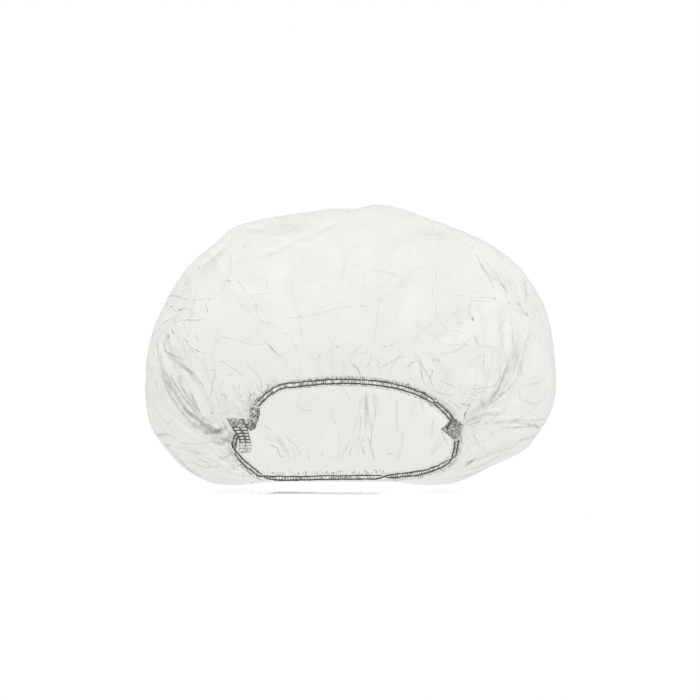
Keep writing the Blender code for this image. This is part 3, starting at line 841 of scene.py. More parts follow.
class Graph:
    """Adds and joins the nodes of one material or world."""

    def __init__(self, tree: bpy.types.NodeTree) -> None:
        """Empties the tree."""
        self.tree = tree
        tree.nodes.clear()

    def add(self, kind: str, **settings: object) -> bpy.types.Node:
        """Adds a node.

        Args:
            kind: The node's type.
            settings: Its properties, and the values of its sockets by name with _ for a space.

        Returns:
            The node.
        """
        node = self.tree.nodes.new(kind)
        for name, value in settings.items():
            socket = node.inputs.get(name.replace("_", " "))
            if socket is None:
                setattr(node, name, value)
            elif isinstance(value, bpy.types.NodeSocket):
                self.tree.links.new(value, socket)
            else:
                socket.default_value = value
        return node

    def maths(self, operation: str, *values: object) -> bpy.types.NodeSocket:
        """Joins values by one operation.

        Args:
            operation: The Math node's operation.
            values: Sockets or numbers, in the node's order.

        Returns:
            The result.
        """
        node = self.tree.nodes.new("ShaderNodeMath")
        node.operation = operation
        for socket, value in zip(node.inputs, values):
            if isinstance(value, bpy.types.NodeSocket):
                self.tree.links.new(value, socket)
            else:
                socket.default_value = value
        return node.outputs[0]

    def ramp(
        self, value: bpy.types.NodeSocket, low: float, high: float, start: float = 0.0, end: float = 1.0
    ) -> bpy.types.NodeSocket:
        """Maps a value from low-high to start-end, smoothly and held at the ends.

        Args:
            value: The socket to map.
            low: Where the rise begins.
            high: Where it ends.
            start: The result at low.
            end: The result at high.

        Returns:
            The mapped value's socket.
        """
        node = self.tree.nodes.new("ShaderNodeMapRange")
        node.interpolation_type = "SMOOTHSTEP"
        self.tree.links.new(value, node.inputs["Value"])
        for name, number in (("From Min", low), ("From Max", high), ("To Min", start), ("To Max", end)):
            node.inputs[name].default_value = number
        return node.outputs["Result"]

    def mix(
        self, share: bpy.types.NodeSocket, first: bpy.types.NodeSocket, second: bpy.types.NodeSocket
    ) -> bpy.types.NodeSocket:
        """Mixes two shaders.

        Args:
            share: How much of the second one shows.
            first: The first shader.
            second: The second shader.

        Returns:
            The mixed shader's socket.
        """
        node = self.tree.nodes.new("ShaderNodeMixShader")
        for socket, value in zip(node.inputs, (share, first, second)):
            self.tree.links.new(value, socket)
        return node.outputs[0]

    def blend(self, share: bpy.types.NodeSocket, first: object, second: object) -> bpy.types.NodeSocket:
        """Mixes two colours.

        Args:
            share: How much of the second one shows.
            first: The first colour, or its socket.
            second: The second colour, or its socket.

        Returns:
            The mixed colour's socket.
        """
        node = self.tree.nodes.new("ShaderNodeMix")
        node.data_type = "RGBA"
        self.tree.links.new(share, node.inputs[0])
        colours = [socket for socket in node.inputs if socket.type == "RGBA"]
        for socket, value in zip(colours, (first, second)):
            if isinstance(value, bpy.types.NodeSocket):
                self.tree.links.new(value, socket)
            else:
                socket.default_value = value
        return node.outputs[2]

    def ribbed(self, colour: bpy.types.NodeSocket, height: bpy.types.NodeSocket, surface: Surface) -> None:
        """Ends the tree in a ribbed surface.

        Args:
            colour: Its colour.
            height: The height of its ribs.
            surface: How deep they are, and how it shines.
        """
        bump = self.add("ShaderNodeBump", Strength=surface.relief, Distance=surface.depth, Height=height)
        shader = self.add(
            "ShaderNodeBsdfPrincipled",
            Base_Color=colour,
            Roughness=surface.roughness,
            Coat_Weight=surface.coat,
            Coat_Roughness=surface.coat_roughness,
            Normal=bump.outputs["Normal"],
        )
        self.close(shader.outputs[0])

    def close(self, surface: bpy.types.NodeSocket, kind: str = "ShaderNodeOutputMaterial") -> None:
        """Ends the tree in an output node."""
        self.tree.links.new(surface, self.tree.nodes.new(kind).inputs["Surface"])


def new_material(name: str) -> tuple[bpy.types.Material, Graph]:
    """Makes an empty material and the graph that fills it."""
    made = bpy.data.materials.new(name)
    made.use_nodes = True
    return made, Graph(made.node_tree)


@dataclass(frozen=True)
class FilmFinish:
    """Clear film: see-through, with a soft mirror that grows at a glance and folds that hold a grey haze, partly
    the film's own milkiness and partly painted shade.
    """

    name: str = "clear crumpled film"
    tint: tuple = (0.995, 0.991, 0.985, 1)
    face_mirror: float = 0.045
    edge_mirror: float = 0.46
    roughness: float = 0.30
    haze: float = 0.030
    edge_haze: float = 0.10
    # How much grey the bends take: partly the film's haze, partly painted shade in its creases.
    crease_haze_and_shade: float = 0.24
    haze_colour: tuple = (0.60, 0.60, 0.58, 1)
    bump_depth: float = 0.0006
    bump_scale: float = 60.0
    bump_base: float = 0.4
    glance_power: float = 3.2
    facet_scales: tuple = (17.0, 41.0)

    def build(self) -> bpy.types.Material:
        """Makes the material."""
        made, graph = new_material(self.name)
        place = graph.add("ShaderNodeTexCoord").outputs["Object"]
        crumple = graph.add("ShaderNodeAttribute", attribute_name="crumple").outputs["Fac"]
        crease = graph.add("ShaderNodeAttribute", attribute_name="crease").outputs["Fac"]
        soft = graph.add("ShaderNodeTexNoise", Vector=place, Scale=self.bump_scale, Detail=3.0, Distortion=0.6)
        height = graph.maths("MULTIPLY", soft.outputs["Fac"], graph.maths("ADD", crumple, self.bump_base))
        bump = graph.add("ShaderNodeBump", Strength=1.0, Distance=self.bump_depth, Height=height)
        facing = graph.add("ShaderNodeLayerWeight", Blend=0.5, Normal=bump.outputs["Normal"]).outputs["Facing"]
        glance = graph.maths("POWER", facing, self.glance_power)
        tone = graph.maths("ADD", *(self.facet_tone(graph, place, scale) for scale in self.facet_scales))
        face_mirror = graph.maths("MULTIPLY", tone, self.face_mirror)
        mirror = graph.maths("ADD", graph.maths("MULTIPLY", glance, self.edge_mirror), face_mirror)
        clear = graph.add("ShaderNodeBsdfTransparent", Color=self.tint)
        gloss = graph.add("ShaderNodeBsdfGlossy", Roughness=self.roughness, Normal=bump.outputs["Normal"])
        body = graph.mix(mirror, clear.outputs[0], gloss.outputs[0])
        # Grey at the bends: partly haze, partly painted shade in the creases.
        marks = graph.maths("MULTIPLY", crease, self.crease_haze_and_shade)
        marks = graph.maths("ADD", marks, graph.maths("MULTIPLY", glance, self.edge_haze))
        milk = graph.add("ShaderNodeBsdfDiffuse", Color=self.haze_colour)
        haze = graph.maths("ADD", marks, graph.maths("MULTIPLY", tone, self.haze))
        graph.close(graph.mix(haze, body, milk.outputs[0]))
        return made

    def facet_tone(self, graph: Graph, place: bpy.types.NodeSocket, scale: float) -> bpy.types.NodeSocket:
        """A tone from 0 to 1 that differs from one flat facet of the crumple to the next.

        Args:
            graph: The material's graph.
            place: Where to read it.
            scale: Facets a metre.

        Returns:
            The tone's socket.
        """
        cells = graph.add("ShaderNodeTexVoronoi", Vector=place, Scale=scale)
        return graph.add("ShaderNodeSeparateColor", Color=cells.outputs["Color"]).outputs["Red"]


@dataclass(frozen=True)
class CreaseFinish:
    """Film folded on itself: clear at the fold's feet, painted grey shade beside its crest and a painted highlight
    where it turns.
    """

    name: str = "folded film with painted shade and highlights"
    # The painted shade beside a crease's crest.
    colour: tuple = (0.25, 0.242, 0.225, 1)
    # The painted highlight along a crease's other side.
    glint: tuple = (0.95, 0.945, 0.93, 1)
    shine: float = 0.18
    roughness: float = 0.25
    fleck_scale: float = 330.0
    fleck_ramp: tuple = (0.35, 0.60, 0.5, 1.0)

    def build(self) -> bpy.types.Material:
        """Makes the material."""
        made, graph = new_material(self.name)
        place = graph.add("ShaderNodeTexCoord").outputs["Object"]
        crease = graph.add("ShaderNodeAttribute", attribute_name="crease").outputs["Fac"]
        flecks = graph.add("ShaderNodeTexNoise", Vector=place, Scale=self.fleck_scale, Detail=2.0)
        # How much painted shade shows, broken up by flecks.
        share = graph.maths("MULTIPLY", crease, graph.ramp(flecks.outputs["Fac"], *self.fleck_ramp))
        clear = graph.add("ShaderNodeBsdfTransparent", Color=(1, 1, 1, 1))
        milk = graph.add("ShaderNodeBsdfDiffuse", Color=self.colour)
        gloss = graph.add("ShaderNodeBsdfGlossy", Roughness=self.roughness)
        fold = graph.add("ShaderNodeMixShader", Fac=self.shine)
        graph.tree.links.new(milk.outputs[0], fold.inputs[1])
        graph.tree.links.new(gloss.outputs[0], fold.inputs[2])
        body = graph.mix(share, clear.outputs[0], fold.outputs[0])
        # The painted highlight, mixed in by the glint attribute.
        light = graph.add("ShaderNodeBsdfDiffuse", Color=self.glint)
        glint = graph.add("ShaderNodeAttribute", attribute_name="glint").outputs["Fac"]
        graph.close(graph.mix(glint, body, light.outputs[0]))
        return made


@dataclass(frozen=True)
class CordFinish:
    """Dark covered rubber at the band's edges: strands wound round it, seen as fine slanted ribs."""

    name: str = "dark wound cord"
    colour: tuple = (0.060, 0.058, 0.053, 1)
    worn: tuple = (0.20, 0.195, 0.18, 1)
    strands: float = 1400.0
    fleck_scale: float = 900.0
    worn_range: tuple = (0.58, 0.72)
    surface: Surface = Surface(0.6, 0.0002, 0.62, 0.0, 0.03)

    def build(self) -> bpy.types.Material:
        """Makes the material."""
        made, graph = new_material(self.name)
        surface = graph.add("ShaderNodeUVMap", uv_map="run").outputs["UV"]
        wave = graph.add("ShaderNodeTexWave", bands_direction="DIAGONAL", Vector=surface, Scale=self.strands)
        flecks = graph.add("ShaderNodeTexNoise", Vector=surface, Scale=self.fleck_scale, Detail=2.0)
        colour = graph.blend(graph.ramp(flecks.outputs["Fac"], *self.worn_range), self.colour, self.worn)
        graph.ribbed(colour, wave.outputs["Fac"], self.surface)
        return made


@dataclass(frozen=True)
class WebFinish:
    """The band's pale middle: rungs of light thread, each a little lighter or darker than the next, with a painted
    highlight on each rung's crest and painted shade between the rungs.
    """

    name: str = "pale ribbed web"
    # The rungs' crests, partly pale thread and partly painted highlight, and the hollows between them, partly the
    # web's own colour and partly painted shade.
    light: tuple = (0.86, 0.85, 0.82, 1)
    dark: tuple = (0.19, 0.186, 0.174, 1)
    rungs: float = 770.4
    rung_contrast: float = 0.60
    unevenness: float = 4.4
    fleck_stretch: float = 0.55
    fleck_rows: float = 110.0
    mark_range: tuple = (-0.9, 0.9)
    surface: Surface = Surface(0.5, 0.0002, 0.4, 0.5, 0.12)

    def build(self) -> bpy.types.Material:
        """Makes the material."""
        made, graph = new_material(self.name)
        surface = graph.add("ShaderNodeUVMap", uv_map="run").outputs["UV"]
        run = graph.add("ShaderNodeSeparateXYZ", Vector=surface).outputs["X"]
        rung = graph.maths("COSINE", graph.maths("MULTIPLY", run, 2 * math.pi * self.rungs))
        scale = (self.fleck_stretch * self.rungs, self.fleck_rows, 1.0)
        stretch = graph.add("ShaderNodeMapping", Vector=surface, Scale=scale)
        flecks = graph.add("ShaderNodeTexNoise", Vector=stretch.outputs[0], Scale=1.0, Detail=2.0)
        uneven = graph.maths("MULTIPLY", graph.maths("SUBTRACT", flecks.outputs["Fac"], 0.5), self.unevenness)
        # Light on the rungs' crests and dark between them: partly the thread's colour, partly painted highlight and
        # painted shade.
        mark = graph.maths("SUBTRACT", uneven, graph.maths("MULTIPLY", rung, self.rung_contrast))
        colour = graph.blend(graph.ramp(mark, *self.mark_range), self.dark, self.light)
        graph.ribbed(colour, flecks.outputs["Fac"], self.surface)
        return made


@dataclass(frozen=True)
class JoinFinish:
    """Lapped elastic: pale pillows of web between near-black crimps, with a little shine. The dark is partly dark
    thread and partly painted shade in the hollows, and the pale tops partly a painted highlight.
    """

    name: str = "crimped elastic"
    # The pale tops, partly painted highlight, and the near-black hollows, partly dark thread and partly painted
    # shade.
    pale: tuple = (0.72, 0.71, 0.68, 1)
    dark: tuple = (0.055, 0.052, 0.046, 1)
    fleck_scale: float = 900.0
    worn_ramp: tuple = (0.35, 0.65, -0.22, 0.22)
    crimp_range: tuple = (0.2, 0.8)
    surface: Surface = Surface(0.5, 0.0002, 0.42, 0.4, 0.15)

    def build(self) -> bpy.types.Material:
        """Makes the material."""
        made, graph = new_material(self.name)
        place = graph.add("ShaderNodeTexCoord").outputs["Object"]
        crimp = graph.add("ShaderNodeAttribute", attribute_name="crimp").outputs["Fac"]
        flecks = graph.add("ShaderNodeTexNoise", Vector=place, Scale=self.fleck_scale, Detail=3.0)
        worn = graph.ramp(flecks.outputs["Fac"], *self.worn_ramp)
        # Dark where the relief is low: partly dark thread, partly painted shade.
        mark = graph.ramp(graph.maths("ADD", crimp, worn), *self.crimp_range)
        graph.ribbed(graph.blend(mark, self.pale, self.dark), flecks.outputs["Fac"], self.surface)
        return made


@dataclass
class MouthLine:
    """The closed line that the elastic follows, on a plane that leans back."""

    half_width: float = 0.082
    half_height: float = 0.0365
    side_shift: float = -0.0015
    centre_height: float = 0.0417
    depth: float = 0.060
    lean: float = 10.0
    band_width: float = 0.006
    edge_thickness: float = 0.0012
    seat_gap: float = 0.0003
    shift: Array = field(default_factory=lambda: np.zeros(3))

    @property
    def up(self) -> Array:
        """The direction up the mouth's plane."""
        lean = math.radians(self.lean)
        return np.array([0, math.sin(lean), math.cos(lean)])

    @property
    def face(self) -> Array:
        """The direction that the mouth faces, towards the viewer."""
        lean = math.radians(self.lean)
        return np.array([0, -math.cos(lean), math.sin(lean)])

    @property
    def centre(self) -> Array:
        """The middle of the mouth."""
        return np.array([self.side_shift, -self.depth + self.centre_height * self.up[1], self.centre_height])

    def place(self, angles: Array) -> Array:
        """The middle of the band at each angle, before the cap is moved over its origin."""
        reach = around(MOUTH, "reach", angles)
        across = reach * self.half_width * np.cos(np.radians(angles))
        rise = reach * self.half_height * np.sin(np.radians(angles))
        return self.centre + across[..., None] * np.array([1, 0, 0]) + rise[..., None] * self.up

    def outward(self, angles: Array) -> Array:
        """The direction out of the mouth, square to the band and in its plane, at each angle."""
        ahead = self.place(angles + 1) - self.place(angles - 1)
        ahead /= np.linalg.norm(ahead, axis=-1)[..., None]
        return np.cross(ahead, self.face)

    def turn(self, angles: Array) -> Array:
        """How far the band is turned about its own length at each angle, in radians.

        Each twist adds half a turn, on a cubic that is level where the twist starts and ends.
        """
        turned = np.mod(angles, 360)
        turn = np.zeros_like(turned)
        for twist in TWISTS:
            off = np.clip((turned - twist.angle) / twist.spread, -1, 1)
            turn += math.pi * (0.5 + 0.75 * off - 0.25 * off**3)
        return turn

    def hem(self, angles: Array, out: Array) -> Array:
        """Points of the film behind the band, at a distance out from the band's middle."""
        turn = self.turn(angles)
        back = self.band_width / 2 * np.abs(np.sin(turn)) + self.edge_thickness / 2 * np.abs(np.cos(turn))
        back = back + self.seat_gap
        return self.place(angles) + self.outward(angles) * out[..., None] - self.face * back[..., None]

    def on_plane(self, side: Array, height: Array, lift: Array) -> Array:
        """Points of the finished cap by where they show on the mouth's plane.

        Args:
            side: Their places along the width.
            height: Their heights.
            lift: How far they stand in front of the plane.

        Returns:
            The points.
        """
        rise = (height - self.centre_height) / self.up[2]
        base = self.centre + self.shift + rise[..., None] * self.up + lift[..., None] * self.face
        base[..., 0] = side
        return base


@dataclass
class CrownForm:
    """The puffed form of the crown, by an angle round the mouth and a distance along the film."""

    mouth: MouthLine
    half_width: float = 0.150
    centre_height: float = 0.090
    rear_depth: float = 0.105
    pole_height: float = 0.096
    recess: float = 0.022
    swell_start: float = 0.42
    front_roundness: float = 2.2
    rear_roundness: float = 2.3
    base_roundness: float = 3.0
    base_settle: float = 0.009
    crease_fade_height: float = 0.014
    arc_share: float = 0.75
    run_share: float = 0.85
    gather_grain: tuple = (3, 1.5)
    gather_wander: tuple = (2.6, 1.2)
    gather_fine_size: float = 0.35
    gather_ratio: float = 1.7
    gather_strength: float = 0.6
    gather_variation: float = 1.1
    gather_limit: float = 1.3
    gather_fade: float = 1.3
    gather_start: float = 14

    def outline(self, angles: Array) -> Array:
        """Points of the ring where the crown is widest, before its base is flattened."""
        reach = around(OUTLINE, "reach", angles) * self.half_width
        depth = -around(OUTLINE, "ring_depth", angles) * self.mouth.depth
        turn = np.radians(angles)
        return np.stack([reach * np.cos(turn), depth, self.centre_height + reach * np.sin(turn)], axis=-1)

    def front(self, angles: Array, share: Array) -> Array:
        """Points between the band's outer edge (share 0) and the widest ring (share 1)."""
        inner = self.mouth.hem(angles, np.full_like(angles, self.mouth.band_width / 2))
        outer = self.outline(angles)
        ring = inner + (outer - inner) * share[..., None]
        recess = around(OUTLINE, "swell", angles) * self.recess
        swell_front = inner[..., 1] - recess
        fall = np.sqrt(np.clip(1 - share**self.front_roundness, 0, 1))
        ring[..., 1] = outer[..., 1] + (swell_front - outer[..., 1]) * fall
        ring[..., 1] += recess * np.clip(1 - share / self.swell_start, 0, 1) ** 2
        return ring

    def rear(self, angles: Array, share: Array) -> Array:
        """Points between the widest ring (share 0) and the pole (share 1)."""
        outer = self.outline(angles)
        settle = around(OUTLINE, "settle", angles)
        power = 2 / (self.rear_roundness + (self.base_roundness - self.rear_roundness) * settle)
        turn = np.clip(share, 0, 1) * math.pi / 2
        inward = np.clip(np.cos(turn), 0, 1) ** power
        back = np.sin(turn) ** power
        ring = np.empty_like(outer)
        ring[..., 0] = outer[..., 0] * inward
        ring[..., 1] = outer[..., 1] + (self.rear_depth - outer[..., 1]) * back
        ring[..., 2] = self.pole_height + (outer[..., 2] - self.pole_height) * inward
        ring[..., 2] -= self.base_settle * settle * np.sin(2 * turn)
        return ring

    def smooth(self, angles: Array, along: Array) -> Array:
        """Points of the crown with no creases. Along is 0 at the band, 1 at the outline and 2 at the pole."""
        front = self.front(angles, np.clip(along, 0, 1))
        rear = self.rear(angles, np.clip(along - 1, 0, 1))
        return np.where((along < 1)[..., None], front, rear)

    def valleys(self, rows: tuple, angles: Array, along: Array, sharp: float) -> Array:
        """How far the folds of a table push the film in.

        Args:
            rows: The table of folds.
            angles: The points' angles.
            along: Their distances along the film.
            sharp: The power of the distance in a fold's section: 2 is round and 1 is a sharp valley.

        Returns:
            The depth at each point.
        """
        scale = np.array([math.radians(1) * self.arc_share, self.run_share]) * self.half_width
        depth = np.zeros_like(angles)
        for fold in rows:
            sweep = (fold.end_angle - fold.start_angle + 180) % 360 - 180
            run = np.array([sweep, fold.end_along - fold.start_along]) * scale
            beside = (angles - fold.start_angle + 180) % 360 - 180
            offset = np.stack([beside, along - fold.start_along], axis=-1) * scale
            part = np.clip((offset @ run) / (run @ run), 0, 1)
            away = np.linalg.norm(offset - part[..., None] * run, axis=-1)
            depth += fold.depth * np.exp(-((away / fold.width) ** sharp))
        return depth

    def gathers(self, angles: Array, along: Array) -> Array:
        """How far the gathers at the band push the film in: uneven pleats that run together further out."""
        depth = np.zeros_like(angles)
        for row in PLEATS:
            spots = circle(angles, along * self.gather_grain[1] + row.count, self.gather_grain[0])
            wander = grain(spots) * self.gather_wander[0]
            wander += grain(spots, self.gather_fine_size, apart=9) * self.gather_wander[1]
            strength = self.gather_strength + grain(spots * self.gather_ratio, apart=20) * self.gather_variation
            strength = np.clip(strength, 0, self.gather_limit)
            fade = np.clip(1 - along / row.reach, 0, 1) ** self.gather_fade
            fade *= np.clip(along * self.gather_start, 0, 1)
            wave = np.abs(np.sin(np.radians(angles) * row.count / 2 + wander))
            depth += row.depth * fade * strength * (1 - wave)
        return depth


@dataclass
class CrownSheet:
    """The crown's film: one disc, from the middle of its back to the free edge behind the elastic."""

    form: CrownForm
    finish: FilmFinish
    steps: int = 300
    rear_share: float = 0.50
    band_share: float = 0.945
    hem_width: float = 0.0006
    ruffle_count: int = 190
    ruffle_height: float = 0.0017
    ruffle_reach: float = 0.13
    arch_height: float = 0.0030
    arch_left: float = -0.055
    arch_right: float = 0.030
    arch_run: float = 0.030
    arch_front: float = -0.05
    arch_back: float = 0.075
    floor_gap: float = 0.0002
    patch_size: float = 0.055
    patch_range: tuple = (-0.25, 0.35)
    near_reach: float = 1.15
    far_share: float = 0.35
    side_share: float = 0.5
    crease_sharpness: float = 1.2
    hem_fade: float = 0.08
    drift_size: float = 0.03
    drift_offsets: tuple = (0.0, 0.4, 0.8)
    drift: float = 0.006
    facet_level: float = 0.4
    fold_strength: float = 1.15
    bound_share: float = 0.45
    ruffle_sizes: tuple = (0.16, 0.05)
    ruffle_range: tuple = (0.25, 1.3)
    ruffle_wander: float = 4
    ruffle_strength: float = 0.75
    ruffle_variation: float = 0.7

    def chart(self, mesh: bpy.types.Mesh) -> tuple[Array, Array]:
        """Reads a flat square grid as a disc.

        Args:
            mesh: The grid, from -1 to 1 in X and Y.

        Returns:
            Each point's share of the way out from the disc's middle, and its angle.
        """
        flat = np.zeros(len(mesh.vertices) * 3, np.float32)
        mesh.vertices.foreach_get("co", flat)
        a, b = flat.reshape(-1, 3)[:, :2].astype(float).T
        wide = np.abs(a) > np.abs(b)
        long, short = np.where(wide, a, b), np.where(wide, b, a)
        part = np.divide(short, long, out=np.zeros_like(short), where=np.abs(long) > 1e-9) * 45
        angle = np.where(wide, part, 90 - part) + np.where(long < 0, 180, 0)
        return np.abs(long), angle

    def lay(self, share: Array, angles: Array) -> tuple[Array, Array]:
        """Puts the disc on the crown's smooth form.

        Args:
            share: Each point's share of the way out from the disc's middle.
            angles: Its angle.

        Returns:
            The points, and how far along the film each one lies.
        """
        mouth = self.form.mouth
        behind = 2 - share / self.rear_share
        ahead = (self.band_share - share) / (self.band_share - self.rear_share)
        ahead = np.sin(np.clip(ahead, 0, 1) * math.pi / 2)
        along = np.where(share < self.rear_share, behind, ahead)
        places = self.form.smooth(angles, along)
        tucked = np.clip((share - self.band_share) / (1 - self.band_share), 0, 1)
        out = mouth.band_width / 2 - tucked * (mouth.band_width + self.hem_width)
        hem = mouth.hem(angles, out)
        return np.where((share > self.band_share)[:, None], hem, places), along

    def crumple(self, places: Array, angles: Array, along: Array) -> tuple[Array, Array]:
        """Works out the creases.

        Args:
            places: The smooth points.
            angles: Their angles.
            along: How far along the film they lie.

        Returns:
            How far each point is pushed in, and how crumpled the film is there, from 0 to 1.
        """
        form = self.form
        side = np.abs(np.cos(np.radians(angles)))
        patch = smoothstep(*self.patch_range, grain(places, self.patch_size))
        near = np.clip(self.near_reach - along, 0, 1)
        crumpled = patch * (self.far_share + (1 - self.far_share) * near) + self.side_share * side * near
        crumpled = np.clip(crumpled, 0, 1)
        drift = np.stack([grain(places, self.drift_size, apart=offset) for offset in self.drift_offsets], axis=-1)
        drifted = places + drift * self.drift
        depth = form.valleys(FOLDS, angles, along, 2) * self.fold_strength
        depth += form.valleys(SIDE_CREASES, angles, along, self.crease_sharpness)
        depth += form.gathers(angles, along)
        for row in FACETS:
            height = (facets(drifted, row.size, row.turn) - self.facet_level) * row.depth
            depth += height * (row.everywhere + row.crumpled * crumpled)
        depth *= np.clip(places[:, 2] / form.crease_fade_height, 0, 1)
        return depth * smoothstep(0, self.hem_fade, along), crumpled

    def ruffle(self, share: Array, angles: Array, along: Array) -> Array:
        """How far the ruffles of the gathered edge bring the film forward.

        Args:
            share: Each point's share of the way out from the disc's middle.
            angles: Its angle.
            along: How far along the film it lies.

        Returns:
            The distance at each point. It is never forward of the band where the band covers the film.
        """
        width = self.form.mouth.band_width
        spots = circle(angles)
        broad, fine = self.ruffle_sizes
        phase = np.radians(angles) * self.ruffle_count + grain(spots, broad) * self.ruffle_wander
        strength = self.ruffle_strength + self.ruffle_variation * grain(spots, fine, apart=5)
        strength = np.clip(strength, *self.ruffle_range)
        past = np.clip((share - self.band_share) / (1 - self.band_share), 0, 1) * (width + self.hem_width)
        free = smoothstep(width, width + self.hem_width, past)
        outside = np.where(share < self.band_share, np.clip(1 - along / self.ruffle_reach, 0, 1), 1)
        height = self.ruffle_height * strength * (self.bound_share + (1 - self.bound_share) * free) * outside
        return height * (np.sin(phase) - 1 + free) / 2

    def arch(self, places: Array) -> Array:
        """How far the base stands off the floor between its two lobes, where the band holds it up."""
        left = smoothstep(self.arch_left - self.arch_run, self.arch_left, places[:, 0])
        right = smoothstep(self.arch_right + self.arch_run, self.arch_right, places[:, 0])
        back = smoothstep(self.arch_back, self.arch_front, places[:, 1])
        return self.arch_height * left * right * back

    def build(self) -> bpy.types.Object:
        """Makes the sheet."""
        shape = bmesh.new()
        bmesh.ops.create_grid(shape, x_segments=self.steps, y_segments=self.steps, size=1)
        mesh = close_shape(shape, "crown_film_sheet")
        share, angles = self.chart(mesh)
        places, along = self.lay(share, angles)
        mesh.vertices.foreach_set("co", places.astype(np.float32).ravel())
        mesh.update()
        if mesh.vertex_normals[len(mesh.vertices) // 2].vector.y < 0:
            mesh.flip_normals()
        normals = np.zeros(len(mesh.vertices) * 3, np.float32)
        mesh.vertex_normals.foreach_get("vector", normals)
        depth, crumpled = self.crumple(places, angles, along)
        places = places - normals.reshape(-1, 3) * depth[:, None]
        places = places + self.form.mouth.face * self.ruffle(share, angles, along)[:, None]
        places[:, 2] = np.maximum(places[:, 2], self.floor_gap + self.arch(places))
        places += self.form.mouth.shift
        mesh.vertices.foreach_set("co", places.astype(np.float32).ravel())
        mesh.update()
        mesh.attributes.new("crumple", "FLOAT", "POINT").data.foreach_set("value", crumpled.astype(np.float32))
        mark_creases(mesh)
        return finish_piece("crown_film_sheet", mesh, self.finish.build())


